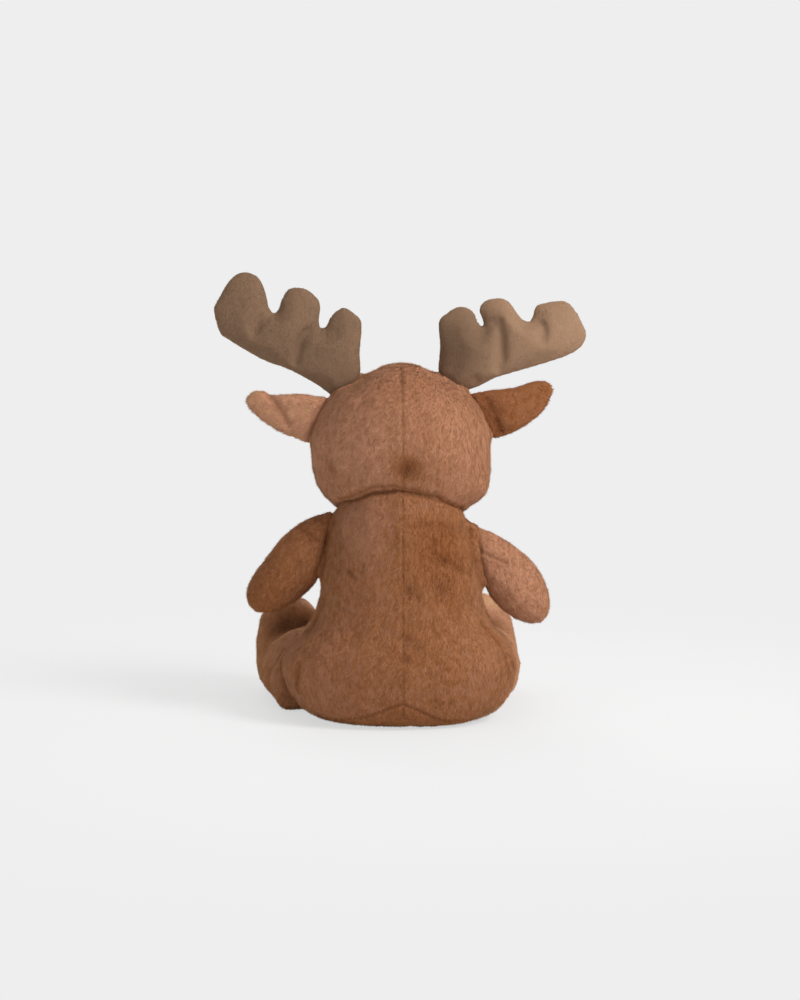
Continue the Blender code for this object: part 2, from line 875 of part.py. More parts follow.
def build_stuffed(name, forms, root, carrier_form, turns, panels, look, fibre, cleared=()):
    """A stuffed limb or antler in its panels, with its filling. The panels are name: (region, look)."""
    empty = joint_empty(name + "_joint", root.frame.translation)
    solids = []
    for inset in (0.0, FABRIC, FABRIC + FILLING_GAP):
        solid = sewn_solid(forms, root, carrier_form, turns, inset)
        if "floor" in cleared:
            cut(solid, below_floor(inset))
        solids.append(solid)
    outer, inner, filling = solids
    for panel_name, (region, without, panel_look) in panels.items():
        panel(panel_name, outer, inner, panel_look or look, region, without, empty)
    finish_piece(filling, name + "_filling", fibre, empty)
    for form in (outer, inner):
        bpy.data.objects.remove(form, do_unlink=True)


def build_arm(name, side, root, torso, materials):
    start = (ARM_START_SHARES[0] * ARM_LENGTH, 0, -ARM_START_SHARES[1] * ARM_DROP)
    ends = (start, (ARM_LENGTH, 0, -ARM_DROP))
    form = ring_form("arm_form_" + name, arm_rings(), ends, ARM_SEGMENTS, root.frame)
    turns = (0.0, side * ARM_FRONT_LIMIT, -side * ARM_BACK_LIMIT)
    panels = {
        "arm_" + name + "_back_panel": (half_space(root.frame, 1, side), (), None),
        "arm_" + name + "_front_panel": (half_space(root.frame, 1, -side), (), None),
    }
    look = materials["brown_plush"]
    build_stuffed("arm_" + name, [form], root, torso, turns, panels, look, materials["fibre"])


def build_leg(name, side, root, torso, materials):
    start = (LEG_START_SHARE * LEG_LENGTH, 0, 0)
    end = (LEG_LENGTH, 0, LEG_END_HEIGHT_SHARE * FOOT_HEIGHT - leg_frame_height())
    form = ring_form("leg_form_" + name, leg_rings(), (start, end), LEG_SEGMENTS, root.frame)
    turns = (0.0, side * LEG_IN_LIMIT, -side * LEG_OUT_LIMIT)
    sole = root.frame @ Matrix.Translation((SOLE_SEAM_SHARE * LEG_LENGTH, 0, 0))
    panels = {
        "leg_" + name + "_outer_panel": (
            half_space(root.frame, 1, side),
            [half_space(sole, 0, 1, -SEAM / 2)],
            None,
        ),
        "leg_" + name + "_inner_panel": (
            half_space(root.frame, 1, -side),
            [half_space(sole, 0, 1, -SEAM / 2)],
            None,
        ),
        "sole_" + name: (half_space(sole, 0, 1), (), materials["taupe_plush"]),
    }
    build_stuffed(
        "leg_" + name,
        [form],
        root,
        torso,
        turns,
        panels,
        materials["brown_plush"],
        materials["fibre"],
        cleared=("floor",),
    )


def build_ear(name, side, root, head, materials):
    start = (EAR_START_SHARE * EAR_LENGTH, 0, 0)
    ends = (start, (EAR_LENGTH, 0, EAR_TIP_UP_SHARE * EAR_HALF_WIDTH))
    lift = RIGHT_EAR_RAISE_DEGREES if side == RIGHT else 0.0
    place = root.frame @ Matrix.Rotation(math.radians(-lift), 4, "Y")
    form = ring_form("ear_form_" + name, ear_rings(), ends, EAR_SEGMENTS, place)
    turns = (0.0, side * EAR_FRONT_LIMIT, -side * EAR_BACK_LIMIT)
    empty = joint_empty("ear_" + name + "_joint", root.frame.translation)
    ear = sewn_solid([form], root, head, turns, 0.0)
    lining = copy_form(ear, "lining")
    keep(ear, half_space(root.frame, 1, side))
    keep(lining, half_space(root.frame, 1, -side))
    finish_piece(ear, "ear_" + name + "_back_panel", materials["brown_plush"], empty)
    finish_piece(lining, "ear_" + name + "_lining", materials["tan_plush"], empty)


def build_antler(name, side, root, head, materials):
    tables = {
        LEFT: (
            (LEFT_BEAM_SHARES, LEFT_BEAM_END_SHARES),
            (LEFT_INNER_TINE_SHARES, LEFT_INNER_TINE_END_SHARES),
            (LEFT_MIDDLE_TINE_SHARES, LEFT_MIDDLE_TINE_END_SHARES),
        ),
        RIGHT: (
            (RIGHT_BEAM_SHARES, RIGHT_BEAM_END_SHARES),
            (RIGHT_INNER_TINE_SHARES, RIGHT_INNER_TINE_END_SHARES),
            (RIGHT_MIDDLE_TINE_SHARES, RIGHT_MIDDLE_TINE_END_SHARES),
        ),
    }
    upright = frame_from(root.frame.translation, Vector((side, 0, 0)), Vector((0, 0, 1)))
    tine_place = Matrix.Translation((0, TINE_BACK, 0)) @ upright
    forms = [
        ring_form(
            "antler_form_" + name,
            antler_rings(rings),
            antler_ends(ends),
            ANTLER_SEGMENTS,
            place,
        )
        for (rings, ends), place in zip(tables[side], (upright, tine_place, tine_place))
    ]
    turns = (0.0, ANTLER_FRONT_LIMIT, -ANTLER_BACK_LIMIT)
    panels = {
        "antler_" + name + "_back_panel": (half_space(root.frame, 1, side), (), None),
        "antler_" + name + "_front_panel": (half_space(root.frame, 1, -side), (), None),
    }
    look = materials["taupe_plush"]
    build_stuffed("antler_" + name, forms, root, head, turns, panels, look, materials["fibre"])


def main():
    clear_scene()
    new_collection("plush_deer")
    new_collection("deer_forms")
    looks = {
        "brown_plush": BROWN_PLUSH,
        "tan_plush": TAN_PLUSH,
        "taupe_plush": TAUPE_PLUSH,
        "fibre": FIBRE,
        "bead_cloth": BEAD_CLOTH,
        "black_plastic": BLACK_PLASTIC,
        "clear_plastic": CLEAR_PLASTIC,
    }
    materials = {name: new_material(name, look) for name, look in looks.items()}

    torso_ends = ((0, TORSO_Y, -FLOOR_CUT), (0, TORSO_Y, TORSO_HEIGHT))
    torso = ring_form("torso_form", torso_rings(), torso_ends, TORSO_SEGMENTS)
    head_ends = ((0, head_y(), HEAD_BASE), (0, head_y(), HEAD_BASE + HEAD_HEIGHT))
    head = ring_form("head_form", head_rings(), head_ends, HEAD_SEGMENTS)

    arms = {name: arm_root(side, torso) for name, side in SIDES.items()}
    legs = {name: leg_root(side) for name, side in SIDES.items()}
    ears = {
        name: head_root(
            side,
            head,
            EAR_TOP_DEGREES,
            EAR_BOTTOM_DEGREES,
            EAR_ROOT_RADIUS,
            EAR_FORWARD_DEGREES,
        )
        for name, side in SIDES.items()
    }
    antlers = {
        name: head_root(
            side, head, ANTLER_TOP_DEGREES, ANTLER_BOTTOM_DEGREES, ANTLER_ROOT_RADIUS, 0.0
        )
        for name, side in SIDES.items()
    }
    build_torso(torso, [*arms.values(), *legs.values()], materials)
    head_joint = build_head(head, [*ears.values(), *antlers.values()], materials)
    for name, side in SIDES.items():
        build_arm(name, side, arms[name], torso, materials)
        build_leg(name, side, legs[name], torso, materials)
        build_ear(name, side, ears[name], head, materials)
        build_antler(name, side, antlers[name], head, materials)
        for part in ("ear_", "antler_"):
            empty = bpy.data.objects[part + name + "_joint"]
            empty.parent = head_joint
            empty.matrix_parent_inverse = head_joint.matrix_world.inverted()
    for label, roots in (("arm", arms), ("leg", legs), ("ear", ears), ("antler", antlers)):
        for name, root in roots.items():
            point = [round(value / MM, 2) for value in root.frame.translation]
            axis = [round(value, 4) for value in root.frame.col[2][:3]]
            print(label, name, "joint at", point, "mm along", axis)


main()
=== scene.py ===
"""A sitting plush deer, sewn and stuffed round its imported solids, in a plain studio."""

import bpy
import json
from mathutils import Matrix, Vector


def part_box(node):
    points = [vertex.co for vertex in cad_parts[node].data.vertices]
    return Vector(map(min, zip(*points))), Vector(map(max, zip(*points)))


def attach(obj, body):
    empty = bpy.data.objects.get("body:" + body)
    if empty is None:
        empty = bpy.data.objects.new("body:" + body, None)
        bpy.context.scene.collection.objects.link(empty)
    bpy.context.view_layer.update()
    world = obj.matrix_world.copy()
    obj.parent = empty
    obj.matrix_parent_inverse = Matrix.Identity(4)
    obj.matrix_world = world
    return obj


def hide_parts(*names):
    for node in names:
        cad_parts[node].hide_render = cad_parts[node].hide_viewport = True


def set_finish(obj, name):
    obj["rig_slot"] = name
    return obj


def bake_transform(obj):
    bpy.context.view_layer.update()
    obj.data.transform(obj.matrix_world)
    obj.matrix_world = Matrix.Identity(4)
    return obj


bl_info = {
    "name": "Plush deer",
    "version": (1, 0, 0),
    "blender": (4, 5, 0),
    "location": "View3D > Sidebar > Plush deer",
    "description": "Sews and stuffs a sitting plush deer, and lights it in a plain studio",
    "category": "Add Mesh",
}

import json
import math
from typing import NamedTuple

import bmesh
import bpy
import numpy as np
from mathutils import Matrix, Vector, geometry, noise
from mathutils.bvhtree import BVHTree

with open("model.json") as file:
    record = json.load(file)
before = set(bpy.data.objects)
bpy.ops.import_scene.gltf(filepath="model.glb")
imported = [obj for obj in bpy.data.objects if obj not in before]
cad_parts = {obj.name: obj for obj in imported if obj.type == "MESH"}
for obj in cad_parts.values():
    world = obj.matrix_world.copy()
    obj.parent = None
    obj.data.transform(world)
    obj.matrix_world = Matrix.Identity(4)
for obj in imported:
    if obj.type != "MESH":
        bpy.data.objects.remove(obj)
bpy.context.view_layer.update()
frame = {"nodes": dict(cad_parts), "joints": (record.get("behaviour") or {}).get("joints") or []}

MM = 0.001
LEFT, RIGHT = 1, -1
SIDES = {"left": LEFT, "right": RIGHT}
JOINTS = {joint["name"]: joint for joint in frame["joints"]}

# The head, ears and antlers share the middle plane of the head.
HEAD_Y = 30.8 * MM

# The outer panels that the torso and the head are sewn from.
TORSO_PANELS = ("torso_back_left", "torso_back_right", "belly_panel", "seat_panel")
HEAD_PANELS = (
    "head_back_left", "head_back_right", "forehead_gusset", "cheek_left", "cheek_right", "muzzle_panel",
)

# Each form has its own random draws, and its pile others.
SEEDS = {"torso": 1, "head": 2, "arm": 10, "leg": 20, "antler": 30, "ear": 40}
PILE_SEED = 100
FAR = 10.0

# A rod fills each groove that a limb, ear or antler turns in: its radius and its length.
ARM_PLUG = (8.5 * MM, 42 * MM)
LEG_PLUG = (16.5 * MM, 34 * MM)
EAR_PLUG = (5 * MM, 26 * MM)
ANTLER_PLUG = (6 * MM, 24 * MM)
NECK_HALF_SIZES = (44 * MM, 47 * MM, 47 * MM)

# The first mesh size of the limbs, and the give that each joint's pieces pass to carry.
ARM_STEP = 3.0 * MM
LEG_STEP = 3.5 * MM
ARM_GIVE = 14 * MM
LEG_GIVE = 24 * MM
EAR_GIVE = 12 * MM
ANTLER_GIVE = 14 * MM

# The cloth of the skins, and how they are stuffed: each is taken in, then pressed out again.
CLOTH = {
    "quality": 6,
    "mass": 0.3,
    "tension_stiffness": 15.0,
    "compression_stiffness": 15.0,
    "shear_stiffness": 6.0,
    "bending_stiffness": 0.2,
}
STUFFING_FRAMES = 20
STUFFING_PRESSURE = 4.0
STUFFING_ROOM = 1.0 * MM
STUFFING_REACH = 1.8 * MM
SEWN_WIDTH = 3.0 * MM
PILLOW_REACH = 14 * MM
BLOWING_ROUNDS = 1500
ANTLER_HALF_THICKNESS = 12 * MM
EAR_HALF_THICKNESS = 6 * MM
RIM_HALF_WIDTH = 0.4 * MM

# Distances along a skin leave out what lies above or below a point by less than this.
SKIN_REACH = 8 * MM

# At the neck, the torso and the head are taken in past their seam.
TUCK_HEIGHT = 4 * MM
TUCK_DEPTH = 5 * MM
NECK_GROOVE = 1.2 * MM
NECK_FRONT = 136.5 * MM

# How much painted shade darkens the pile, from 0 to 1: in the seams of a large and of a small form, in a
# crease for each millimetre of its depth and at most, in a dent, and where another form is sewn on.
SEAM_SHADE = 0.5
SMALL_SEAM_SHADE = 0.2
CREASE_SHADE = 0.4
DEEPEST_CREASE_SHADE = 0.42
DENT_SHADE = 0.4
JOIN_SHADE = 0.5

# A strand leans up from the skin by some degrees, starts under the skin and stays off the floor.
# Its tone tells which colour it has, and each colour but the darkest starts at one of these tones. Besides
# their random spread, the low tones are painted shade and the high ones are painted light.
STRAND_LEAN = 20
STRAND_LEAN_SPREAD = 7
STRAND_ROOT = 0.15 * MM
STRAND_FLOOR_GAP = 0.2 * MM
TONES = (-2.3, -1.35, -0.35, 0.55, 1.25)

# Where the belly's fabric ends, and where the seat panel shows at the back.
BELLY_BACK = 30 * MM
BELLY_LOW = 9 * MM
SEAT_BACK = 40 * MM
SEAT_TOP = 22 * MM

# The half sizes of each button, across, up and out.
BUTTONS = {
    "eye_left": (6.5 * MM, 6.5 * MM, 4.2 * MM),
    "eye_right": (6.5 * MM, 6.5 * MM, 4.2 * MM),
    "nose": (9.0 * MM, 6.0 * MM, 4.5 * MM),
}
BUTTON_SIDES = 48
STEM_RADIUS = 2.0 * MM
STEM_LENGTH = 14.0 * MM
# How far under a button's middle the middle of its washer is.
WASHER_DROP = 5.6 * MM

# The place, the size and the power of each lamp, and what they are turned to.
LAMPS = {
    "key": ((-1.35, 1.15, 1.45), 0.9, 44.0),
    "fill": ((1.3, 1.3, 0.4), 1.4, 2.0),
    "front": ((0.5, -1.6, 1.2), 1.4, 12.0),
}
LAMP_AIM = Vector((0, 0, 0.15))
ROOM_LIGHT = 0.5
FLOOR_HALF_WIDTH = 15.0
CAMERA_TARGET = Vector((-0.7 * MM, 0, 144 * MM))
SENSOR_WIDTH = 36.0

# Antler outlines, in millimetres across and up, from the inner root round to the outer root.
ANTLER_OUTLINES = {
    "left": (
        (26.0, 229.7), (27.0, 235.7), (27.7, 246.3), (26.3, 260.9), (27.0, 267.6), (31.6, 271.9),
        (38.2, 275.2), (45.5, 269.6), (49.2, 262.9), (53.5, 262.3), (54.8, 267.6), (54.1, 277.5),
        (57.1, 282.8), (64.0, 287.8), (72.7, 288.1), (77.3, 282.8), (80.3, 274.9), (84.0, 271.6),
        (87.9, 275.6), (89.9, 284.1), (94.4, 294.7), (104.3, 298.7), (113.0, 293.1), (119.6, 282.8),
        (123.3, 274.9), (121.8, 267.0), (119.2, 259.1), (115.9, 256.4), (103.0, 248.4), (89.5, 241.1),
        (73.6, 235.4), (61.6, 228.8), (51.0, 221.8), (45.7, 215.7), (40.0, 206.0), (22.0, 219.0),
    ),
    "right": (
        (-24.6, 231.6), (-26.0, 239.6), (-26.9, 251.6), (-26.2, 264.2), (-26.9, 267.8), (-30.2, 270.8),
        (-37.9, 275.5), (-44.2, 274.8), (-48.2, 271.5), (-50.2, 266.2), (-53.6, 262.8), (-55.6, 263.5),
        (-55.4, 267.7), (-53.1, 274.1), (-54.9, 278.1), (-58.4, 280.3), (-66.8, 281.4), (-72.2, 278.4),
        (-76.2, 273.0), (-80.2, 267.7), (-84.0, 266.1), (-86.3, 266.1), (-88.9, 270.8), (-90.6, 276.1),
        (-95.9, 278.1), (-106.9, 279.4), (-112.2, 277.4), (-117.6, 270.3), (-120.7, 264.1),
        (-123.1, 258.3), (-122.1, 253.4), (-118.5, 248.5), (-110.5, 244.1), (-96.2, 239.2),
        (-80.1, 234.4), (-64.0, 230.0), (-53.3, 224.5), (-47.0, 221.6), (-44.0, 217.8),
        (-40.0, 208.0), (-22.0, 221.0),
    ),
}
EAR_OUTLINES = {
    "left": (
        (46.4, 215.1), (57.3, 217.1), (65.7, 218.5), (73.7, 218.1), (85.8, 217.6), (90.3, 219.8),
        (96.5, 220.3), (101.6, 216.5), (101.9, 212.5), (97.9, 206.1), (87.7, 197.6), (77.1, 191.8),
        (67.1, 188.1), (60.6, 185.0), (50.0, 186.0), (42.0, 200.0),
    ),
    "right": (
        (-44.4, 217.6), (-50.4, 219.1), (-62.4, 220.9), (-76.5, 222.2), (-85.6, 225.5), (-92.5, 226.8),
        (-97.9, 226.1), (-101.9, 220.4), (-100.4, 217.7), (-97.7, 210.5), (-92.0, 203.4),
        (-83.0, 197.1), (-73.3, 191.7), (-62.4, 188.2), (-50.0, 188.0), (-42.0, 200.0),
    ),
}


# The creases of the antlers, in millimetres across and up.
ANTLER_CREASES = {
    "left": (
        ((84.0, 271.6), (91.0, 269.0), (96.5, 261.5)),
        ((53.5, 262.3), (61.0, 261.0), (66.0, 254.5), (69.5, 241.0)),
    ),
    "right": (
        ((-55.0, 263.0), (-64.0, 266.5), (-66.3, 256.0), (-66.5, 243.0), (-64.0, 236.0)),
        ((-92.0, 266.5), (-94.0, 261.0), (-93.5, 256.0)),
    ),
}
# Where the arms are sewn to the back of the torso, in millimetres.
ARMHOLES = {
    "left": (
        (45.4, 44.7, 134.8), (48.7, 44.1, 126.1), (50.7, 44.9, 117.5), (51.4, 46.2, 109.0),
        (53.5, 45.7, 98.8),
    ),
    "right": ((-45.7, 45.5, 128.6), (-46.5, 48.9, 117.0), (-51.0, 47.6, 102.0), (-53.8, 46.2, 91.7)),
}


def at_back(line):
    """A crease of an antler as places on the antler's back."""
    return tuple((x, 41.0, z) for x, z in line)


class Fabric(NamedTuple):
    """What the fabric of a stuffed form does, in millimetres.

    lay is how the pile as a whole is brushed, towards the light or away from it, and so the whole form is
    painted light where it is above 0 and painted shade where it is below. A crease has a line, a depth and a
    width, a dent a place, a depth and a width, a hollow, where little light falls and painted shade stands
    for it, a place, a radius and an amount, a bulge a place, three radii and a push, and a patch, where the
    pile is brushed another way, painted light for an amount above 0 and painted shade below, a place, a
    radius and an amount. Creases and dents get painted shade too."""

    lay_and_light: float
    creases: tuple = ()
    dents: tuple = ()
    hollows: tuple = ()
    bulges: tuple = ()
    patches: tuple = ()


# Each piece's lay and its patches are partly the pile's nap and partly painted light and shade: they make a
# piece, or a place on it, lighter where light falls on it and darker where it lies in shade.
FOLDS = {
    "torso": Fabric(
        lay_and_light=-0.38,
        creases=(
            (
                ((-20.7, 80.2, 117.7), (-29.4, 75.6, 111.1), (-36.2, 72.1, 106.7), (-45.5, 60.8, 101.8)),
                0.8,
                3.0,
            ),
            (
                ((-3.6, 84.1, 135.2), (-17.4, 80.0, 136.0), (-31.0, 69.9, 132.8), (-44.3, 47.4, 126.8)),
                0.7,
                3.6,
            ),
            (((36.5, 72.3, 104.4), (32.6, 75.2, 100.8)), 1.0, 2.0),
            (((61.6, 49.1, 63.1), (52.9, 51.8, 82.9)), 1.2, 4.0),
            (((69.5, 64.0, 41.5), (70.2, 63.2, 32.7), (71.0, 59.7, 24.0)), 1.0, 2.5),
            (
                ((-54.3, 59.8, 68.2), (-61.8, 57.7, 60.4), (-69.6, 60.1, 50.1), (-73.1, 59.4, 29.8)),
                1.2,
                3.0,
            ),
            (ARMHOLES["left"], 1.2, 2.4),
            (ARMHOLES["right"], 1.2, 2.4),
        ),
        dents=(
            ((-4.2, 86.0, 92.3), 1.4, 6.0),
            ((-26.0, 79.7, 93.3), 1.0, 6.0),
            ((-2.8, 88.4, 61.9), 0.9, 4.0),
            ((-0.2, 89.7, 48.9), 0.9, 4.0),
            ((-9.3, 88.8, 56.6), 0.8, 3.0),
        ),
        bulges=(
            ((-84.0, 50.0, 45.0), (20.0, 40.0, 22.0), (2.5, 0.0, 0.0)),
            ((-36.0, 68.0, 3.0), (20.0, 20.0, 10.0), (-1.2, 1.2, -0.4)),
        ),
        patches=(
            ((-30.2, 87.5, 48.4), 26.0, -0.25),
            ((-32.0, 72.0, 122.0), 30.0, -0.5),
            ((41.3, 80.4, 54.2), 26.0, -0.1),
            ((-17.3, 82.1, 113.3), 14.0, -0.3),
            ((-30.7, 77.5, 86.3), 12.0, -0.3),
            ((-34.0, 71.0, 110.0), 22.0, -0.5),
            ((-2.0, 84.0, 100.0), 24.0, -0.3),
            ((-24.0, 78.0, 128.0), 12.0, -0.35),
            ((28.0, 73.3, 132.1), 22.0, 0.55),
        ),
    ),
    "head": Fabric(
        lay_and_light=0.22,
        dents=(((-3.0, 82.7, 172.0), 1.2, 8.0), ((46.7, 63.0, 171.2), 0.6, 4.0)),
        # Painted shade in the dimple under the dent.
        hollows=(((-3.4, 82.7, 171.5), 8.5, 0.75),),
        bulges=(
            ((-50.0, 46.0, 156.0), (14.0, 22.0, 14.0), (-4.5, 0.0, -2.5)),
            ((-5.0, 31.0, 236.0), (26.0, 30.0, 12.0), (0.0, 0.0, 2.0)),
            ((30.0, 34.0, 229.0), (10.0, 20.0, 10.0), (0.0, 0.0, -3.0)),
            ((-27.0, 34.0, 231.0), (9.0, 20.0, 10.0), (0.0, 0.0, -2.0)),
        ),
        patches=(
            ((-27.6, 68.8, 213.4), 26.0, -0.15),
            # Painted shade in the dimple.
            ((-2.3, 82.7, 174.1), 9.0, -0.9),
            ((-17.4, 79.4, 168.6), 16.0, -0.3),
            ((40.0, 60.0, 184.0), 34.0, 0.6),
        ),
    ),
    "arm_left": Fabric(
        lay_and_light=-0.95,
        creases=(
            (((64.7, 40.7, 127.1), (60.0, 45.6, 125.0), (54.7, 47.4, 121.8)), 1.0, 2.0),
            (ARMHOLES["left"], 1.2, 2.4),
        ),
        bulges=(
            ((54.0, 40.0, 138.0), (16.0, 18.0, 10.0), (0.5, 0.0, 2.5)),
            ((64.0, 41.0, 130.0), (18.0, 20.0, 12.0), (2.0, 0.0, 3.5)),
            ((78.0, 39.0, 118.0), (16.0, 20.0, 14.0), (2.0, 0.0, 2.0)),
            ((98.0, 38.0, 80.0), (14.0, 20.0, 12.0), (1.5, 0.0, -1.5)),
        ),
    ),
    "arm_right": Fabric(
        lay_and_light=0.2,
        creases=(
            (
                ((-48.4, 45.7, 115.1), (-56.3, 47.6, 112.7), (-63.6, 47.9, 109.3), (-70.4, 47.1, 106.5)),
                1.0,
                1.8,
            ),
            (ARMHOLES["right"], 1.2, 2.4),
        ),
        bulges=(
            ((-101.0, 38.0, 80.0), (18.0, 20.0, 16.0), (3.0, 0.0, 1.0)),
            ((-60.0, 40.0, 124.0), (20.0, 20.0, 14.0), (0.0, 0.0, 0.6)),
            ((-88.0, 38.0, 104.0), (20.0, 20.0, 20.0), (-2.0, 0.0, 1.0)),
        ),
        patches=(((-75.0, 50.0, 100.0), 24.0, 0.2),),
    ),
    "leg_left": Fabric(
        lay_and_light=-0.5,
        creases=((((79.5, 9.6, 42.4), (82.3, 11.5, 32.3), (85.3, 1.9, 20.2)), 1.2, 2.5),),
        # Painted shade in the hollows at the top of the leg, under the arm.
        hollows=(((78.0, -44.0, 52.0), 16.0, 0.85), ((66.0, -44.0, 54.0), 15.0, 0.85)),
        bulges=(
            ((90.0, -25.0, 14.0), (26.0, 60.0, 16.0), (6.0, 0.0, -1.0)),
            ((74.0, 15.0, 3.0), (12.0, 30.0, 9.0), (6.5, 0.0, -1.5)),
            ((82.0, 14.0, 26.0), (20.0, 16.0, 22.0), (0.0, 8.0, 0.0)),
            ((76.0, 20.0, 8.0), (14.0, 24.0, 12.0), (1.6, 0.0, -2.6)),
            ((76.0, -38.0, 58.0), (22.0, 17.0, 18.0), (0.0, 0.0, -8.0)),
        ),
        # A painted highlight: the golden rim of light on the top of the foot.
        patches=(((62.0, -72.0, 63.0), 7.0, 2.0),),
    ),
    "leg_right": Fabric(
        lay_and_light=0.8,
        # Painted shade in the hollow at the top of the leg, under the arm.
        hollows=(((-68.0, -42.0, 54.0), 13.0, 0.7),),
        bulges=(
            ((-93.0, 10.0, 38.0), (16.0, 40.0, 26.0), (4.0, 0.0, 0.0)),
            ((-66.0, -38.0, 58.0), (20.0, 17.0, 18.0), (0.0, 0.0, -5.0)),
        ),
        # A painted highlight: the golden rim of light on the top of the foot.
        patches=(((-66.0, -70.0, 64.0), 8.0, 1.5),),
    ),
    "antler_left": Fabric(
        lay_and_light=-0.5,
        creases=(
            (at_back(ANTLER_CREASES["left"][0]), 0.3, 2.2),
            (at_back(ANTLER_CREASES["left"][1]), 0.4, 2.2),
        ),
        # Painted shade on the inner part of the antler.
        patches=(((42.0, 44.0, 260.0), 22.0, -0.9),),
    ),
    "antler_right": Fabric(
        lay_and_light=0.8,
        creases=(
            (at_back(ANTLER_CREASES["right"][0][:4]), 0.4, 2.2),
            (at_back(ANTLER_CREASES["right"][1]), 0.3, 2.2),
        ),
        # Painted shade on the inner part of the antler.
        patches=(((-37.0, 44.0, 255.0), 24.0, -2.8), ((-36.0, 42.0, 234.0), 14.0, -1.0)),
    ),
    "ear_left": Fabric(
        lay_and_light=1.2,
        creases=((((86.4, 36.0, 217.5), (80.0, 37.0, 208.0), (76.0, 37.0, 199.0)), 1.2, 3.0),),
    ),
    "ear_right": Fabric(
        lay_and_light=-1.15,
        creases=((((-56.0, 38.0, 214.0), (-61.0, 38.0, 204.0), (-66.0, 37.0, 193.0)), 1.8, 4.5),),
        # Painted shade in the hollow of the ear near the head.
        hollows=(((-58.0, 44.0, 204.0), 12.0, 0.4),),
    ),
}
# The seam between the head and the back of the torso, in millimetres.
NECK_SEAM = (
    (-40.5, 52.0, 144.0), (-32.0, 63.9, 148.9), (-22.3, 72.3, 152.8), (-7.7, 77.8, 157.6),
    (6.6, 79.1, 160.8), (20.2, 76.4, 159.6), (28.5, 70.2, 155.1), (42.8, 55.3, 150.0),
)
NECK_FRONT = 136.5 * MM
# The seam of the seat panel at the back, in millimetres; the strip under it is painted darker, as shade.
SEAT_SEAM = (
    (-50.0, 68.0, 3.0), (-26.2, 78.7, 6.8), (-17.5, 82.2, 10.9), (-7.5, 86.3, 15.7), (0.4, 87.3, 19.3),
    (7.5, 86.8, 16.6), (15.9, 84.3, 12.9), (31.5, 77.6, 8.3), (46.6, 67.1, 5.6), (66.0, 52.0, 4.0),
)


def colour_setting(name, description, default):
    return bpy.props.FloatVectorProperty(
        name=name, description=description, subtype="COLOR", size=3, min=0.0, max=1.0, default=default
    )


def length_setting(name, description, default, least=0.0):
    return bpy.props.FloatProperty(
        name=name, description=description, unit="LENGTH", default=default, min=least
    )


def angle_setting(name, description, degrees):
    return bpy.props.FloatProperty(
        name=name, description=description, subtype="ANGLE", default=math.radians(degrees)
    )


class PlushColours(bpy.types.PropertyGroup):
    """The colours of the fabrics and buttons."""

    brown: colour_setting(
        "Brown pile", "Body, head, arms, legs and the backs of the ears", (0.36, 0.162, 0.087)
    )
    # The low, deep and tip browns and the golden strands are darker and lighter copies of the brown: besides
    # the pile's own streaks and random tones, they are painted shade and painted light where the masks call
    # for it.
    brown_low: colour_setting(
        "Brown pile, low", "The brown between the tufts and in the seams", (0.185, 0.058, 0.016)
    )
    brown_deep: colour_setting(
        "Brown pile, deep", "The brown where the pile is brushed away from the light", (0.285, 0.108, 0.036)
    )
    brown_tip: colour_setting(
        "Brown pile, tips", "The brown where the pile is brushed towards the light", (0.47, 0.230, 0.136)
    )
    tan: colour_setting("Tan pile", "Belly, muzzle, soles and ear linings", (0.55, 0.33, 0.19))
    taupe: colour_setting("Taupe pile", "The antlers", (0.240, 0.144, 0.088))
    gold: colour_setting(
        "Golden strands", "The few palest strands of the brown pile", (0.55, 0.33, 0.17)
    )
    sheen: colour_setting(
        "Golden rim", "The light that the pile's tips catch at a flat angle", (0.95, 0.64, 0.32)
    )
    button: colour_setting("Buttons", "Eyes and nose", (0.012, 0.01, 0.009))
    washer: colour_setting("Washers", "What holds the eyes and the nose inside the head", (0.78, 0.78, 0.76))


class PlushSizes(bpy.types.PropertyGroup):
    """The sizes of the seams and the pile."""

    seam_depth: length_setting("Seam depth", "How far a seam pulls the fabric in", 0.3 * MM)
    seam_width: length_setting(
        "Seam width", "How far from its line a seam is felt", 1.5 * MM, 0.1 * MM
    )
    tuft_height: length_setting(
        "Tuft height", "How far the tufts of the pile stand up and down", 0.22 * MM
    )
    pile_length: length_setting(
        "Pile length", "How long the strands of the brown and tan pile are", 2.2 * MM, 0.5 * MM
    )
    pile_width: length_setting("Strand width", "How wide a strand is at its root", 0.38 * MM, 0.1 * MM)
    pile_density: bpy.props.FloatProperty(
        name="Pile density", description="Strands per square millimetre", default=2.0, min=0.0
    )
    skin_step: length_setting(
        "Skin step",
        "The first mesh size of the torso and head, before it is refined twice",
        4.0 * MM,
        2.0 * MM,
    )


class StudioSettings(bpy.types.PropertyGroup):
    """Floor, light and camera."""

    backdrop: colour_setting("Backdrop", "Floor and background", (0.855, 0.855, 0.855))
    distance: length_setting(
        "Camera distance", "From the camera to the middle of the deer", 1.6, 0.5
    )
    azimuth: angle_setting("Camera turn", "How far the camera stands towards the deer's left", 2.0)
    elevation: angle_setting("Camera elevation", "How far the camera looks down", 6.0)
    lens: bpy.props.FloatProperty(
        name="Lens", description="Focal length in millimetres", default=84.3, min=10.0
    )


class PlushDeerSettings(bpy.types.PropertyGroup):
    """All that a user would change."""

    colours: bpy.props.PointerProperty(type=PlushColours)
    sizes: bpy.props.PointerProperty(type=PlushSizes)
    studio: bpy.props.PointerProperty(type=StudioSettings)


def settings():
    return bpy.context.scene.plush_deer


def add_object(name, mesh):
    obj = bpy.data.objects.new(name, mesh)
    bpy.context.scene.collection.objects.link(obj)
    return obj


def object_from(name, bm):
    mesh = bpy.data.meshes.new(name)
    bm.to_mesh(mesh)
    bm.free()
    return add_object(name, mesh)


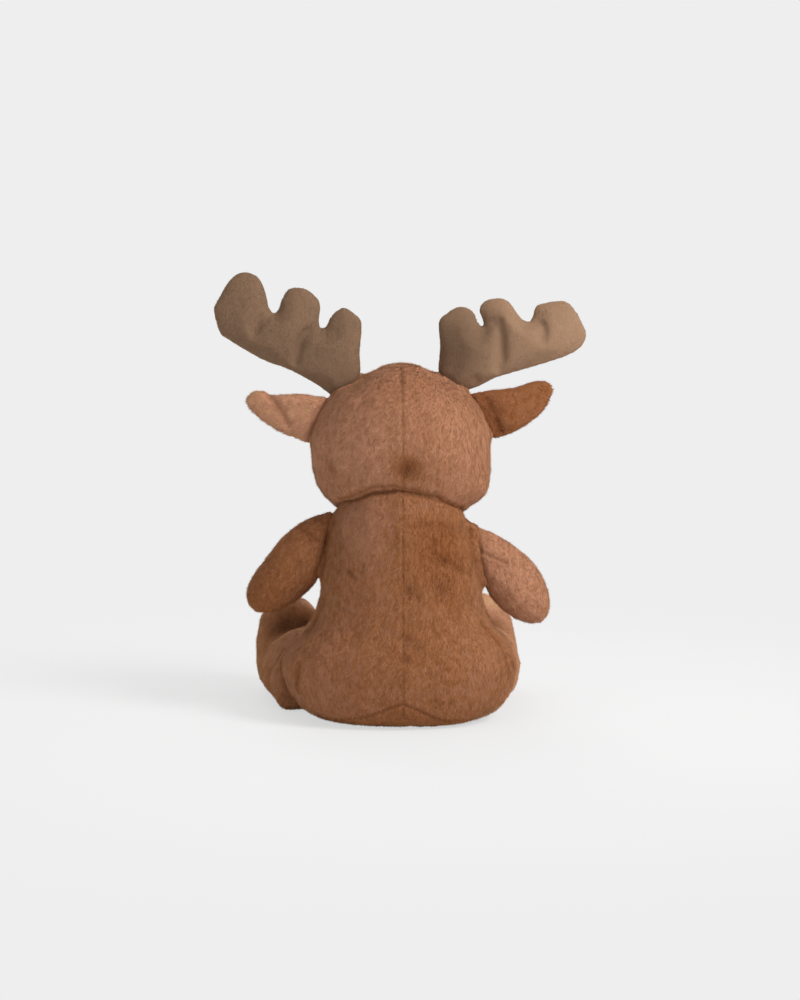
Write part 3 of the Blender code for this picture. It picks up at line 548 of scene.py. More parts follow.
def settle(obj):
    """Applies the object's modifiers to its mesh."""
    graph = bpy.context.evaluated_depsgraph_get()
    mesh = bpy.data.meshes.new_from_object(obj.evaluated_get(graph))
    old = obj.data
    obj.modifiers.clear()
    obj.data = mesh
    bpy.data.meshes.remove(old)
    mesh.name = obj.name


def vertex_values(obj, name):
    values = np.zeros(len(obj.data.vertices) * 3, np.float32)
    obj.data.vertices.foreach_get(name, values)
    return values.reshape(-1, 3).astype(float)


def points_of(obj):
    return vertex_values(obj, "co")


def normals_of(obj):
    return vertex_values(obj, "normal")


def edges_of(obj):
    edges = np.zeros(len(obj.data.edges) * 2, np.int32)
    obj.data.edges.foreach_get("vertices", edges)
    return edges.reshape(-1, 2)


def move_points(obj, points):
    obj.data.vertices.foreach_set("co", points.astype(np.float32).ravel())
    obj.data.update()


def neighbour_mean(points, edges):
    """The mean of each point's neighbours along the edges."""
    first, second = edges[:, 0], edges[:, 1]
    count = np.bincount(first, minlength=len(points)) + np.bincount(second, minlength=len(points))
    count = np.maximum(count, 1)
    total = np.empty_like(points)
    for axis in range(points.shape[1]):
        column = points[:, axis]
        total[:, axis] = np.bincount(first, column[second], len(points))
        total[:, axis] += np.bincount(second, column[first], len(points))
    return total / count[:, None]


def smooth(obj, rounds, share=0.5, back=0.52):
    """Evens out the skin and keeps its size: each round pulls in and then pushes out."""
    points, edges = points_of(obj), edges_of(obj)
    for _ in range(rounds):
        points += share * (neighbour_mean(points, edges) - points)
        points -= back * (neighbour_mean(points, edges) - points)
    move_points(obj, points)


def refine(obj, levels):
    """Catmull-Clark subdivision."""
    subdivision = obj.modifiers.new("refine", "SUBSURF")
    subdivision.levels = levels
    subdivision.render_levels = levels
    settle(obj)


def stuffing(obj, pressure, reach, sewn=None):
    """Presses the fabric out with its filling: a short cloth simulation that ends as plain mesh.

    sewn tells how firmly a seam holds each point, and reach caps how far a point may move."""
    before = points_of(obj)
    cloth = obj.modifiers.new("stuffing", "CLOTH")
    fabric = cloth.settings
    for name, value in CLOTH.items():
        setattr(fabric, name, value)
    fabric.use_pressure = True
    fabric.uniform_pressure_force = pressure
    fabric.effector_weights.gravity = 0.0
    if sewn is not None:
        held = obj.vertex_groups.new(name="sewn")
        for index in np.nonzero(sewn > 0.05)[0]:
            held.add([int(index)], float(sewn[index]), "REPLACE")
        fabric.vertex_group_mass = "sewn"
    cloth.point_cache.frame_start = 1
    cloth.point_cache.frame_end = STUFFING_FRAMES
    for number in range(1, STUFFING_FRAMES + 1):
        bpy.context.scene.frame_set(number)
    settle(obj)
    bpy.context.scene.frame_set(1)
    obj.vertex_groups.clear()
    move = points_of(obj) - before
    share = np.minimum(1, reach / np.maximum(np.linalg.norm(move, axis=1), 1e-9))
    move_points(obj, before + move * share[:, None])


def stuffed(obj, panels):
    """Stuffs a skin: it bulges between its seams, which stay where they are."""
    points, normals = points_of(obj), normals_of(obj)
    seam = panel_split(points, panels)[1]
    move_points(obj, points - normals * STUFFING_ROOM)
    stuffing(obj, STUFFING_PRESSURE, STUFFING_REACH, bell(seam, SEWN_WIDTH))


def fit_rim(obj, rim, targets, half_thickness):
    """Brings the sewn edge of a blown up pillow back to its outline, and its thickness to the right one."""
    points = points_of(obj)
    shift = targets - points[rim]
    edge = points[rim][:, (0, 2)]
    for index, point in enumerate(points):
        if not rim[index]:
            weight = 1 / (((edge - point[[0, 2]]) ** 2).sum(axis=1) + (2 * MM) ** 2) ** 1.5
            move = (weight[:, None] * shift).sum(axis=0) / weight.sum()
            points[index, 0] += move[0]
            points[index, 2] += move[2]
    points[rim] = targets
    deep = np.abs(points[:, 1] - HEAD_Y).max()
    points[:, 1] = HEAD_Y + (points[:, 1] - HEAD_Y) * half_thickness / deep
    move_points(obj, points)


def largest_island(bm):
    """Deletes all but the island with the most vertices."""
    left = set(bm.verts)
    best = []
    while left:
        start = next(iter(left))
        island, todo = {start}, [start]
        while todo:
            vertex = todo.pop()
            for edge in vertex.link_edges:
                other = edge.other_vert(vertex)
                if other not in island:
                    island.add(other)
                    todo.append(other)
        left -= island
        if len(island) > len(best):
            best = island
    bmesh.ops.delete(bm, geom=[v for v in bm.verts if v not in best], context="VERTS")


def plug(bm, joint, radius, length):
    """A rod along a joint's axis, which fills the groove that the limb's root turns in."""
    where, axis = Vector(JOINTS[joint]["pos_m"]), Vector(JOINTS[joint]["axis"])
    turn = axis.to_track_quat("Z", "Y").to_matrix().to_4x4()
    bmesh.ops.create_cone(
        bm,
        cap_ends=True,
        segments=24,
        radius1=radius,
        radius2=radius,
        depth=length,
        matrix=Matrix.Translation(where) @ turn,
    )


def fused_skin(name, nodes, step, plugs=(), ball=None):
    """One closed skin round the solids of these nodes, on an even mesh."""
    bm = bmesh.new()
    for node in nodes:
        bm.from_mesh(frame["nodes"][node].data)
    for joint, radius, length in plugs:
        plug(bm, joint, radius, length)
    if ball:
        place, half_sizes = ball
        bmesh.ops.create_uvsphere(
            bm,
            u_segments=32,
            v_segments=20,
            radius=1.0,
            matrix=Matrix.Translation(place) @ Matrix.Diagonal((*half_sizes, 1.0)),
        )
    obj = object_from(name, bm)
    remesh = obj.modifiers.new("fuse", "REMESH")
    remesh.mode = "VOXEL"
    remesh.voxel_size = step
    settle(obj)
    bm = bmesh.new()
    bm.from_mesh(obj.data)
    largest_island(bm)
    bm.to_mesh(obj.data)
    bm.free()
    return obj


def tree_of(nodes):
    """A search tree over the faces of these CAD nodes."""
    vertices, faces = [], []
    for node in nodes:
        mesh = frame["nodes"][node].data
        first = len(vertices)
        vertices += [v.co.copy() for v in mesh.vertices]
        faces += [[first + i for i in p.vertices] for p in mesh.polygons]
    return BVHTree.FromPolygons(vertices, faces)


def object_tree(obj):
    vertices = [v.co.copy() for v in obj.data.vertices]
    return BVHTree.FromPolygons(vertices, [list(p.vertices) for p in obj.data.polygons])


def distances(tree, points, reach=FAR):
    """How far each point is from the tree's faces."""
    found = np.full(len(points), reach)
    for index, point in enumerate(points):
        hit = tree.find_nearest(Vector(point), reach)
        if hit[3] is not None:
            found[index] = hit[3]
    return found


def panel_split(points, panels):
    """The nearest panel of each point, and how far the point is from the nearest seam."""
    gaps = np.stack([distances(tree_of([panel]), points) for panel in panels], axis=1)
    order = np.sort(gaps, axis=1)
    return gaps.argmin(axis=1), order[:, 1] - order[:, 0]


def set_mask(obj, name, values):
    attribute = obj.data.attributes.get(name) or obj.data.attributes.new(name, "FLOAT", "POINT")
    attribute.data.foreach_set("value", values.astype(np.float32))


def waves(points, scale, seed):
    """Smooth noise from -1 to 1, with a scale per axis in waves per metre."""
    shift = Vector((seed * 7.31, seed * 3.17, seed * 5.71))
    factors = np.array(scale)
    return np.array([noise.noise(Vector(p) + shift) for p in points * factors])


def bell(distance, width):
    return np.exp(-((distance / width) ** 2))


def beside(offsets, normals=None):
    """How far points lie from a place, measured along the skin where their normals are given."""
    if normals is not None:
        above = (offsets * normals).sum(axis=1)
        above[np.abs(above) > SKIN_REACH] = 0
        offsets = offsets - above[:, None] * normals
    return np.linalg.norm(offsets, axis=1)


def line_distance(points, line, normals=None):
    """The distance of each point from a line through several places."""
    best = np.full(len(points), FAR)
    for start, end in zip(line, line[1:]):
        a, b = np.array(start), np.array(end)
        along = b - a
        share = np.clip((points - a) @ along / (along @ along), 0, 1)
        best = np.minimum(best, beside(points - a - share[:, None] * along, normals))
    return best


def pile_relief(obj, height, seed):
    """Tufts that lie down the form, as small ridges longer than they are wide."""
    points, normals = points_of(obj), normals_of(obj)
    tufts = waves(points, (420, 420, 190), seed) + 0.6 * waves(points, (240, 240, 150), seed + 1)
    move_points(obj, points + normals * (height * tufts)[:, None])


def sculpt(obj, bulges):
    """Pushes the skin about, softly round each place."""
    points = points_of(obj)
    for place, radii, push in bulges:
        away = (points - np.array(place) * MM) / (np.array(radii) * MM)
        points += np.exp(-(away**2).sum(axis=1))[:, None] * np.array(push) * MM
    move_points(obj, points)


def tuck(obj, side):
    """Takes a skin in past the neck seam: above it for the torso, side 1, and below it for the head, -1."""
    points = points_of(obj)
    seam = np.array(NECK_SEAM) * MM
    behind = np.clip((points[:, 1] - 25 * MM) / (20 * MM), 0, 1)
    height = np.interp(points[:, 0], seam[:, 0], seam[:, 2])
    height = behind * height + (1 - behind) * NECK_FRONT
    share = np.clip(side * (points[:, 2] - height) / TUCK_HEIGHT, 0, 1)
    share = share * share * (3 - 2 * share)
    share *= behind if side < 0 else 1.4 - 0.4 * behind
    inward = unit(np.stack((-points[:, 0], HEAD_Y - points[:, 1], 0 * points[:, 0]), axis=1))
    points += inward * (share * TUCK_DEPTH)[:, None]
    groove = bell(line_distance(points, seam), 2.6 * MM)
    points += inward * (groove * NECK_GROOVE)[:, None]
    move_points(obj, points)


def finish_skin(obj, seam, neighbours, folds, seed, lump=0.5 * MM, tuft=None):
    """Seams, folds, dimples and pile on a refined skin, with the masks that its material reads: the crease
    mask is painted shade in seams, creases, dents, hollows and where forms are sewn on, and the nap mask is
    partly the pile's nap and partly painted light and shade.

    seam is how far each point is from a seam; neighbours are trees of what is sewn on here."""
    sizes = settings().sizes
    points, normals = points_of(obj), normals_of(obj)
    pull = sizes.seam_depth * bell(seam, sizes.seam_width)
    large = obj.name in ("torso", "head")
    strength = SEAM_SHADE if large else SMALL_SEAM_SHADE
    uneven = np.clip(0.75 + 0.6 * waves(points, (150, 150, 110), seed + 21), 0.2, 1.2)
    # dark is the painted shade: along the seams, unevenly, and below also in creases, dents, hollows, where
    # another form is sewn on and along the neck seam.
    dark = strength * uneven * bell(seam, 0.65 * sizes.seam_width)
    for line, depth, width in folds.creases:
        near = line_distance(points, np.array(line) * MM, normals)
        pull += depth * MM * bell(near, width * MM)
        strength = min(DEEPEST_CREASE_SHADE, CREASE_SHADE * depth)
        dark = np.maximum(dark, strength * uneven * bell(near, 1.1 * width * MM))
    for place, depth, width in folds.dents:
        near = beside(points - np.array(place) * MM, normals)
        pull += depth * MM * bell(near, width * MM)
        dark = np.maximum(dark, DENT_SHADE * bell(near, 1.2 * width * MM))
    for place, radius, amount in folds.hollows:
        near = np.linalg.norm(points - np.array(place) * MM, axis=1)
        dark = np.maximum(dark, amount * bell(near, radius * MM))
    for tree, depth in neighbours:
        near = distances(tree, points, 0.02)
        pull += depth * bell(near, 2.5 * MM)
        dark = np.maximum(dark, JOIN_SHADE * bell(near, 1.8 * MM))
    if large:
        neck = line_distance(points, np.array(NECK_SEAM) * MM, normals)
        dark = np.maximum(dark, JOIN_SHADE * bell(neck, 1.6 * MM))
    lumps = waves(points, (38, 38, 38), seed + 5) * lump
    move_points(obj, points + normals * (lumps - pull)[:, None])
    pile_relief(obj, sizes.tuft_height if tuft is None else tuft, seed)
    points = points_of(obj)
    points[:, 2] = np.maximum(points[:, 2], 0)
    move_points(obj, points)
    # The nap mask is partly the pile's nap and partly painted light and shade: the lay counts most where the
    # skin faces +y, and each patch adds painted light or painted shade by its sign.
    nap = folds.lay_and_light * np.clip(0.55 + 0.8 * normals[:, 1], 0.3, 1)
    nap += 0.35 * waves(points, (22, 22, 22), seed + 9)
    for place, size, amount in folds.patches:
        near = np.linalg.norm(points - np.array(place) * MM, axis=1)
        nap += amount * bell(near, size * MM)
    set_mask(obj, "crease", dark)
    set_mask(obj, "nap", nap)


def mask_of(obj, name):
    values = np.zeros(len(obj.data.vertices), np.float32)
    obj.data.attributes[name].data.foreach_get("value", values)
    return values.astype(float)


def unit(vectors):
    return vectors / np.maximum(np.linalg.norm(vectors, axis=1), 1e-9)[:, None]


def pile_coat(base, strands, length, width, nap, seed, tan=None, spread=0.3):
    """The pile on a skin: short tapered strands that lie along the nap, in a few tones.

    nap is the way the pile is brushed, tan tells whether a place has the tan fabric, and spread is
    how much the strands differ in tone."""
    mesh = base.data
    mesh.calc_loop_triangles()
    corners = np.zeros(len(mesh.loop_triangles) * 3, np.int32)
    mesh.loop_triangles.foreach_get("vertices", corners)
    corners = corners.reshape(-1, 3)
    points, normals = points_of(base), normals_of(base)
    a, b, c = (points[corners[:, k]] for k in range(3))
    area = np.linalg.norm(np.cross(b - a, c - a), axis=1)
    draw = np.random.default_rng(seed)
    pick = corners[draw.choice(len(corners), strands, p=area / area.sum())]
    share = draw.dirichlet((1, 1, 1), strands)

    def at(values):
        return sum(share[:, [k]] * values[pick[:, k]] for k in range(3))

    root, up = at(points), unit(at(normals))
    crease = at(mask_of(base, "crease")[:, None])[:, 0]
    brushed = at(mask_of(base, "nap")[:, None])[:, 0]
    along = np.array(nap, float) - (up @ np.array(nap, float))[:, None] * up
    along = unit(along + 1e-4)
    across = np.cross(up, along)
    swirl = 0.7 * waves(root, (45, 45, 45), seed + 3) + 0.8 * waves(root, (170, 170, 120), seed + 4)
    swirl += 0.25 * draw.standard_normal(strands)
    swirl *= 1 - 0.8 * np.minimum(crease, 1)
    along, across = (
        np.cos(swirl)[:, None] * along + np.sin(swirl)[:, None] * across,
        np.cos(swirl)[:, None] * across - np.sin(swirl)[:, None] * along,
    )
    lean = np.radians(STRAND_LEAN + STRAND_LEAN_SPREAD * draw.standard_normal(strands))
    reach = length * (0.7 + 0.6 * draw.random(strands)) * (1 - 0.6 * np.minimum(crease, 1))
    tip = root + reach[:, None] * (np.cos(lean)[:, None] * along + np.sin(lean)[:, None] * up)
    side = across * (0.5 * width * (0.7 + 0.6 * draw.random(strands)))[:, None]
    root = root - up * STRAND_ROOT
    for part in (root, tip):
        part[:, 2] = np.maximum(part[:, 2], STRAND_FLOOR_GAP)
    coat = bpy.data.meshes.new(base.name + "_pile")
    coat.vertices.add(3 * strands)
    places = np.stack((root + side, root - side, tip), axis=1)
    coat.vertices.foreach_set("co", places.astype(np.float32).ravel())
    coat.loops.add(3 * strands)
    coat.loops.foreach_set("vertex_index", np.arange(3 * strands, dtype=np.int32))
    coat.polygons.add(strands)
    coat.polygons.foreach_set("loop_start", np.arange(0, 3 * strands, 3, dtype=np.int32))
    coat.polygons.foreach_set("use_smooth", np.ones(strands, bool))
    tufts = waves(root, (330, 330, 210), seed + 5)
    # A strand's tone: the nap mask, partly painted light and shade, its random spread and tufts, and painted
    # shade where the crease mask is high.
    tone = brushed + spread * (draw.standard_normal(strands) + 2.6 * tufts) - 2.4 * crease
    which = np.digitize(tone, TONES)
    if tan is not None:
        which = np.where(tan(root), which + len(TONES) + 1, which)
    coat.polygons.foreach_set("material_index", which.astype(np.int32))
    coat.update(calc_edges=True)
    tilt = waves(root, (260, 260, 180), seed + 6)[:, None] * along
    tilt += waves(root, (260, 260, 180), seed + 7)[:, None] * across
    bend = unit(up + 0.09 * draw.standard_normal((strands, 3)) + 0.34 * tilt)
    coat.normals_split_custom_set(np.repeat(bend, 3, axis=0).astype(np.float32))
    return add_object(base.name + "_pile", coat)


def shade(obj, materials, which=None):
    """Gives the piece its materials, one for each value in which."""
    obj.data.materials.clear()
    for material in materials:
        obj.data.materials.append(material)
    obj.data.polygons.foreach_set("use_smooth", np.ones(len(obj.data.polygons), bool))
    if which is not None:
        slots = [which[p.vertices[0]] for p in obj.data.polygons]
        obj.data.polygons.foreach_set("material_index", np.array(slots, np.int32))
    obj.data.update()


def resampled(outline, step):
    """Even points along a smooth closed curve through the outline's points."""
    corners = [Vector(p) * MM for p in outline]
    count = len(corners)
    curve = []
    for i in range(count):
        before, start, end, after = (corners[(i + k) % count] for k in (-1, 0, 1, 2))
        pieces = max(1, round((end - start).length / step))
        for k in range(pieces):
            t = k / pieces
            curve.append(
                0.5
                * (
                    2 * start
                    + t * (end - before)
                    + t * t * (2 * before - 5 * start + 4 * end - after)
                    + t * t * t * (3 * start - before - 3 * end + after)
                )
            )
    return curve


def inside(point, curve):
    """Whether a place in the plane is inside a closed curve."""
    odd = False
    for a, b in zip(curve, curve[1:] + curve[:1]):
        if (a[1] > point[1]) != (b[1] > point[1]):
            if point[0] < a[0] + (point[1] - a[1]) / (b[1] - a[1]) * (b[0] - a[0]):
                odd = not odd
    return odd


def grown(curve, amount):
    """A closed curve moved out by the amount."""
    clockwise = sum(a[0] * b[1] - b[0] * a[1] for a, b in zip(curve, curve[1:] + curve[:1])) < 0
    moved = []
    for before, here, after in zip(curve[-1:] + curve[:-1], curve, curve[1:] + curve[:1]):
        way = (after - before).normalized()
        out = Vector((-way[1], way[0])) if clockwise else Vector((way[1], -way[0]))
        moved.append(here + out * amount)
    return moved


def pillow(name, outline, half_thickness, step, growth, fullness, creases=()):
    """Two panels cut to one outline, a little grown, and sewn edge to edge in the plane of the head.

    The fabric stands off the plane as a skin does that is blown up from its rim. fullness is the share
    of the half thickness that the front and the back have before they are stuffed."""
    curve = grown(resampled(outline, step), growth)
    rim = len(curve)
    flat = [Vector((p[0], p[1])) for p in curve]
    rim_points = np.array([tuple(p) for p in flat])
    low, high = rim_points.min(axis=0), rim_points.max(axis=0)
    row = 0
    z = low[1]
    while z < high[1]:
        x = low[0] + (row % 2) * step / 2
        while x < high[0]:
            gap = np.hypot(rim_points[:, 0] - x, rim_points[:, 1] - z).min()
            if gap > 0.7 * step and inside((x, z), curve):
                flat.append(Vector((x, z)))
            x += step
        z += step * 0.866
        row += 1
    vertices, edges, faces, _, _, _ = geometry.delaunay_2d_cdt(flat, [], [list(range(rim))], 1, 1e-7)
    places = np.array([tuple(v) for v in vertices])
    edges = np.array(edges)
    on_rim = np.array([np.hypot(*(rim_points - p).T).min() < 1e-6 for p in places])
    height = np.zeros((len(places), 1))
    for _ in range(BLOWING_ROUNDS):
        height = np.where(on_rim[:, None], 0, neighbour_mean(height, edges) + 1)
    height = half_thickness * (height[:, 0] / height.max()) ** 0.5
    for line in creases:
        near = line_distance(places, np.array(line) * MM)
        height *= 1 - 0.22 * bell(near, 4.5 * MM)
    return sewn_pillow(name, places, faces, on_rim, fullness[0] * height, fullness[1] * height)


def sewn_pillow(name, places, faces, on_rim, front, back):
    """The mesh of a pillow from the heights of its two panels over the plane."""
    bm = bmesh.new()
    back_points, front_points = [], []
    for (x, z), rim, ahead, behind in zip(places, on_rim, front, back):
        point = bm.verts.new((x, HEAD_Y + behind, z))
        back_points.append(point)
        front_points.append(point if rim else bm.verts.new((x, HEAD_Y - ahead, z)))
    for face in faces:
        bm.faces.new([back_points[i] for i in face])
        if not all(on_rim[i] for i in face):
            bm.faces.new([front_points[i] for i in reversed(face)])
    bmesh.ops.recalc_face_normals(bm, faces=bm.faces)
    return object_from(name, bm)


def stuffed_pillow(obj, pressure, half_thickness):
    """Stuffs an ear or antler, whose rim stays on its outline, and refines it."""
    points = points_of(obj)
    rim = np.abs(points[:, 1] - HEAD_Y) < 1e-6
    stuffing(obj, pressure, PILLOW_REACH)
    smooth(obj, 3, 0.5, 0.3)
    fit_rim(obj, rim, points[rim], half_thickness)
    refine(obj, 1)


def rim_distance(points, outline):
    """How far each point is from the sewn edge of an ear or antler, which has a width itself."""
    rim = [Vector((p[0], HEAD_Y, p[1])) for p in resampled(outline, 2.0 * MM)]
    return RIM_HALF_WIDTH + line_distance(points, rim + rim[:1])


def node(tree, kind, inputs=None, **values):
    """A node with its settings; each input gets a value or the socket that feeds it."""
    made = tree.nodes.new(kind)
    for name, value in values.items():
        setattr(made, name, value)
    for socket, value in (inputs or {}).items():
        if isinstance(value, bpy.types.NodeSocket):
            tree.links.new(value, made.inputs[socket])
        else:
            made.inputs[socket].default_value = value
    return made


def noise_texture(tree, vector, scale, detail=2.0, roughness=0.5):
    inputs = {"Vector": vector, "Scale": scale, "Detail": detail, "Roughness": roughness}
    return node(tree, "ShaderNodeTexNoise", inputs)


def maths(tree, operation, *values, clamp=False):
    made = node(tree, "ShaderNodeMath", dict(enumerate(values)), operation=operation, use_clamp=clamp)
    return made.outputs["Value"]


def vector_maths(tree, operation, *values):
    made = node(tree, "ShaderNodeVectorMath", dict(enumerate(values)), operation=operation)
    return made.outputs["Value" if operation == "LENGTH" else "Vector"]


def mixed(tree, kind, share, first, second):
    inputs = {"Factor": share, "A": first, "B": second}
    return node(tree, "ShaderNodeMix", inputs, data_type=kind).outputs["Result"]


def map_range(tree, value, **ends):
    """A value moved from one range to another, whose ends are given as from_min, to_max and so on."""
    inputs = {name.replace("_", " ").title(): end for name, end in ends.items()}
    return node(tree, "ShaderNodeMapRange", {"Value": value, **inputs})


def object_place(tree):
    return node(tree, "ShaderNodeTexCoord").outputs["Object"]


def new_group(name, inputs, outputs):
    """A node group and what its input node puts out."""
    group = bpy.data.node_groups.new(name, "ShaderNodeTree")
    for socket, kind, default in inputs:
        made = group.interface.new_socket(socket, in_out="INPUT", socket_type=kind)
        if default is not None:
            made.default_value = default
    for socket, kind in outputs:
        group.interface.new_socket(socket, in_out="OUTPUT", socket_type=kind)
    return group, node(group, "NodeGroupInput").outputs


def plush_group():
    """The look of cut pile: streaks that lie down the form, mottled patches, and painted light and shade
    from the nap and crease masks.
    """
    name = "Plush pile"
    if name in bpy.data.node_groups:
        return bpy.data.node_groups[name]
    group, source = new_group(
        name,
        (
            ("Vector", "NodeSocketVector", None),
            ("Pile", "NodeSocketColor", (0.4, 0.2, 0.1, 1)),
            ("Low", "NodeSocketColor", (0.2, 0.1, 0.05, 1)),
            ("Tip", "NodeSocketColor", (0.5, 0.3, 0.2, 1)),
            ("Sunk", "NodeSocketColor", (0.06, 0.02, 0.01, 1)),
            ("Crease", "NodeSocketFloat", 0.0),
            ("Nap", "NodeSocketFloat", 0.0),
            ("Streaks", "NodeSocketFloat", 900.0),
            ("Contrast", "NodeSocketFloat", 1.0),
        ),
        (("Color", "NodeSocketColor"), ("Height", "NodeSocketFloat")),
    )
    # Streaks that sway a little and are longest down the form, and clumps among them.
    sway = noise_texture(group, source["Vector"], 45.0, 1.0)
    centred = vector_maths(group, "SUBTRACT", sway.outputs["Color"], (0.5, 0.5, 0.5))
    swayed = vector_maths(group, "MULTIPLY_ADD", centred, (0.012, 0.012, 0.012), source["Vector"])
    stretched = vector_maths(group, "MULTIPLY", swayed, (1.0, 1.0, 0.34))
    streaks = noise_texture(group, stretched, source["Streaks"], 2.0, 0.6)
    clumps = noise_texture(group, stretched, 260.0, 1.0)
    streak_height = map_range(group, streaks.outputs["Fac"], from_min=0.30, from_max=0.70)
    clump_height = map_range(group, clumps.outputs["Fac"], from_min=0.32, from_max=0.68)
    height = mixed(group, "FLOAT", 0.35, streak_height.outputs["Result"], clump_height.outputs["Result"])
    # The low colour between the streaks.
    low = maths(group, "MULTIPLY_ADD", height, -0.55, 0.40)
    low = maths(group, "MULTIPLY", low, source["Contrast"], clamp=True)
    pile = mixed(group, "RGBA", low, source["Pile"], source["Low"])
    # The tip colour in mottled patches, and as painted light where the nap lies towards the light.
    mottle = noise_texture(group, source["Vector"], 34.0)
    mottled = maths(group, "MULTIPLY_ADD", mottle.outputs["Fac"], 1.1, -0.40)
    towards = maths(group, "ADD", mottled, source["Nap"], clamp=True)
    pile = mixed(group, "RGBA", towards, pile, source["Tip"])
    # Painted shade: the low colour where the nap lies away from the light, and the shade colour in creases
    # and seams.
    away = maths(group, "MULTIPLY", source["Nap"], -0.4, clamp=True)
    pile = mixed(group, "RGBA", away, pile, source["Low"])
    pile = mixed(group, "RGBA", source["Crease"], pile, source["Sunk"])
    node(group, "NodeGroupOutput", {"Color": pile, "Height": height})
    return group


def mould_group():
    """The faint unevenness that a mould leaves on plastic, as a roughness."""
    name = "Moulded plastic"
    if name in bpy.data.node_groups:
        return bpy.data.node_groups[name]
    group, source = new_group(
        name,
        (
            ("Vector", "NodeSocketVector", None),
            ("Scale", "NodeSocketFloat", 400.0),
            ("Low", "NodeSocketFloat", 0.1),
            ("High", "NodeSocketFloat", 0.2),
        ),
        (("Roughness", "NodeSocketFloat"),),
    )
    grain = noise_texture(group, source["Vector"], source["Scale"]).outputs["Fac"]
    level = map_range(group, grain, to_min=source["Low"], to_max=source["High"])
    node(group, "NodeGroupOutput", {"Roughness": level.outputs["Result"]})
    return group


def new_material(name, values):
    """A material whose Principled BSDF has these values, its tree, and that shader's inputs."""
    material = bpy.data.materials.new(name)
    material.use_nodes = True
    inputs = material.node_tree.nodes["Principled BSDF"].inputs
    for socket, value in values.items():
        inputs[socket].default_value = value
    return material, material.node_tree, inputs


def shifted(colour, factor):
    return tuple(min(1.0, channel * factor) for channel in colour)


def sheen_of(weight, roughness):
    """The rim of light on the pile's tips, as values of a Principled BSDF."""
    tint = (*settings().colours.sheen, 1)
    return {"Sheen Weight": weight, "Sheen Roughness": roughness, "Sheen Tint": tint}


def plush_material(name, pile, low, tip, streaks, contrast, bump, sheen):
    """Short cut pile, matt, with a rim of light on its tips."""
    if name in bpy.data.materials:
        return bpy.data.materials[name]
    matt = {"Roughness": 0.92, "Specular IOR Level": 0.05}
    material, tree, shader = new_material(name, matt | sheen_of(sheen, 0.45))
    look = {
        "Vector": object_place(tree),
        "Pile": (*pile, 1),
        "Low": (*low, 1),
        "Tip": (*tip, 1),
        # The shade colour, a third of the low brown, is painted shade in creases and seams.
        "Sunk": (*shifted(low, 0.3), 1),
        "Crease": node(tree, "ShaderNodeAttribute", attribute_name="crease").outputs["Fac"],
        "Nap": node(tree, "ShaderNodeAttribute", attribute_name="nap").outputs["Fac"],
        "Streaks": streaks,
        "Contrast": contrast,
    }
    pile_look = node(tree, "ShaderNodeGroup", look, node_tree=plush_group())
    height = {"Height": pile_look.outputs["Height"], "Strength": bump, "Distance": 0.5 * MM}
    relief = node(tree, "ShaderNodeBump", height)
    tree.links.new(pile_look.outputs["Color"], shader["Base Color"])
    tree.links.new(relief.outputs["Normal"], shader["Normal"])
    return material


def brown_plush():
    colours = settings().colours
    return plush_material(
        "brown_pile", colours.brown, colours.brown_low, colours.brown_tip, 900.0, 1.0, 0.7, 0.08
    )


def tan_plush():
    tan = settings().colours.tan
    return plush_material("tan_pile", tan, shifted(tan, 0.55), shifted(tan, 1.2), 900.0, 0.9, 0.7, 0.08)


def taupe_plush():
    taupe = settings().colours.taupe
    return plush_material(
        "taupe_pile", taupe, shifted(taupe, 0.52), shifted(taupe, 1.25), 1300.0, 0.7, 0.4, 0.15
    )


def strand_material(name, colour, sheen=0.24):
    """One tone of the strands that make up the pile."""
    if name in bpy.data.materials:
        return bpy.data.materials[name]
    matt = {"Base Color": (*colour, 1), "Roughness": 0.85, "Specular IOR Level": 0.03}
    return new_material(name, matt | sheen_of(sheen, 0.4))[0]


def toned_strands(name, colour, factors):
    """The strands of a pile of one colour, from the darkest tone to the palest."""
    return [
        strand_material(f"{name}_strands_{number}", shifted(colour, factor))
        for number, factor in enumerate(factors)
    ]


def brown_strands():
    colours = settings().colours
    # Darkest to palest: the sunk tone, without sheen, is painted shade in creases and hollows; besides their
    # random spread, low and deep are partly painted shade and tip and gold partly painted light.
    return [
        strand_material("brown_strands_sunk", shifted(colours.brown_low, 0.38), 0.0),
        strand_material("brown_strands_low", shifted(colours.brown_low, 1.15), 0.12),
        strand_material("brown_strands_deep", colours.brown_deep),
        strand_material("brown_strands", colours.brown),
        strand_material("brown_strands_tip", colours.brown_tip),
        strand_material("brown_strands_gold", colours.gold),
    ]


def brown_and_tan_strands():
    # The darkest tan tone is painted shade, like the sunk brown.
    return brown_strands() + toned_strands("tan", settings().colours.tan, (0.4, 0.7, 0.84, 0.97, 1.08, 1.2))


def taupe_strands():
    # The darkest taupe tone is painted shade in the creases.
    return toned_strands("taupe", settings().colours.taupe, (0.45, 0.72, 0.86, 1.0, 1.15, 1.3))


def plastic_material(name, colour, scale, low, high, polish):
    """Moulded plastic, whose roughness wanders between low and high."""
    if name in bpy.data.materials:
        return bpy.data.materials[name]
    material, tree, shader = new_material(name, {"Base Color": (*colour, 1)} | polish)
    surface = {"Vector": object_place(tree), "Scale": scale, "Low": low, "High": high}
    mould = node(tree, "ShaderNodeGroup", surface, node_tree=mould_group())
    tree.links.new(mould.outputs["Roughness"], shader["Roughness"])
    return material


def black_plastic():
    """Polished black plastic."""
    polish = {"Specular IOR Level": 0.2, "Coat Weight": 0.1, "Coat Roughness": 0.05}
    return plastic_material("polished_black", settings().colours.button, 400.0, 0.10, 0.20, polish)


def clear_plastic():
    """Plastic as it comes from the mould, frosted."""
    return plastic_material("frosted_clear", settings().colours.washer, 500.0, 0.35, 0.55, {})


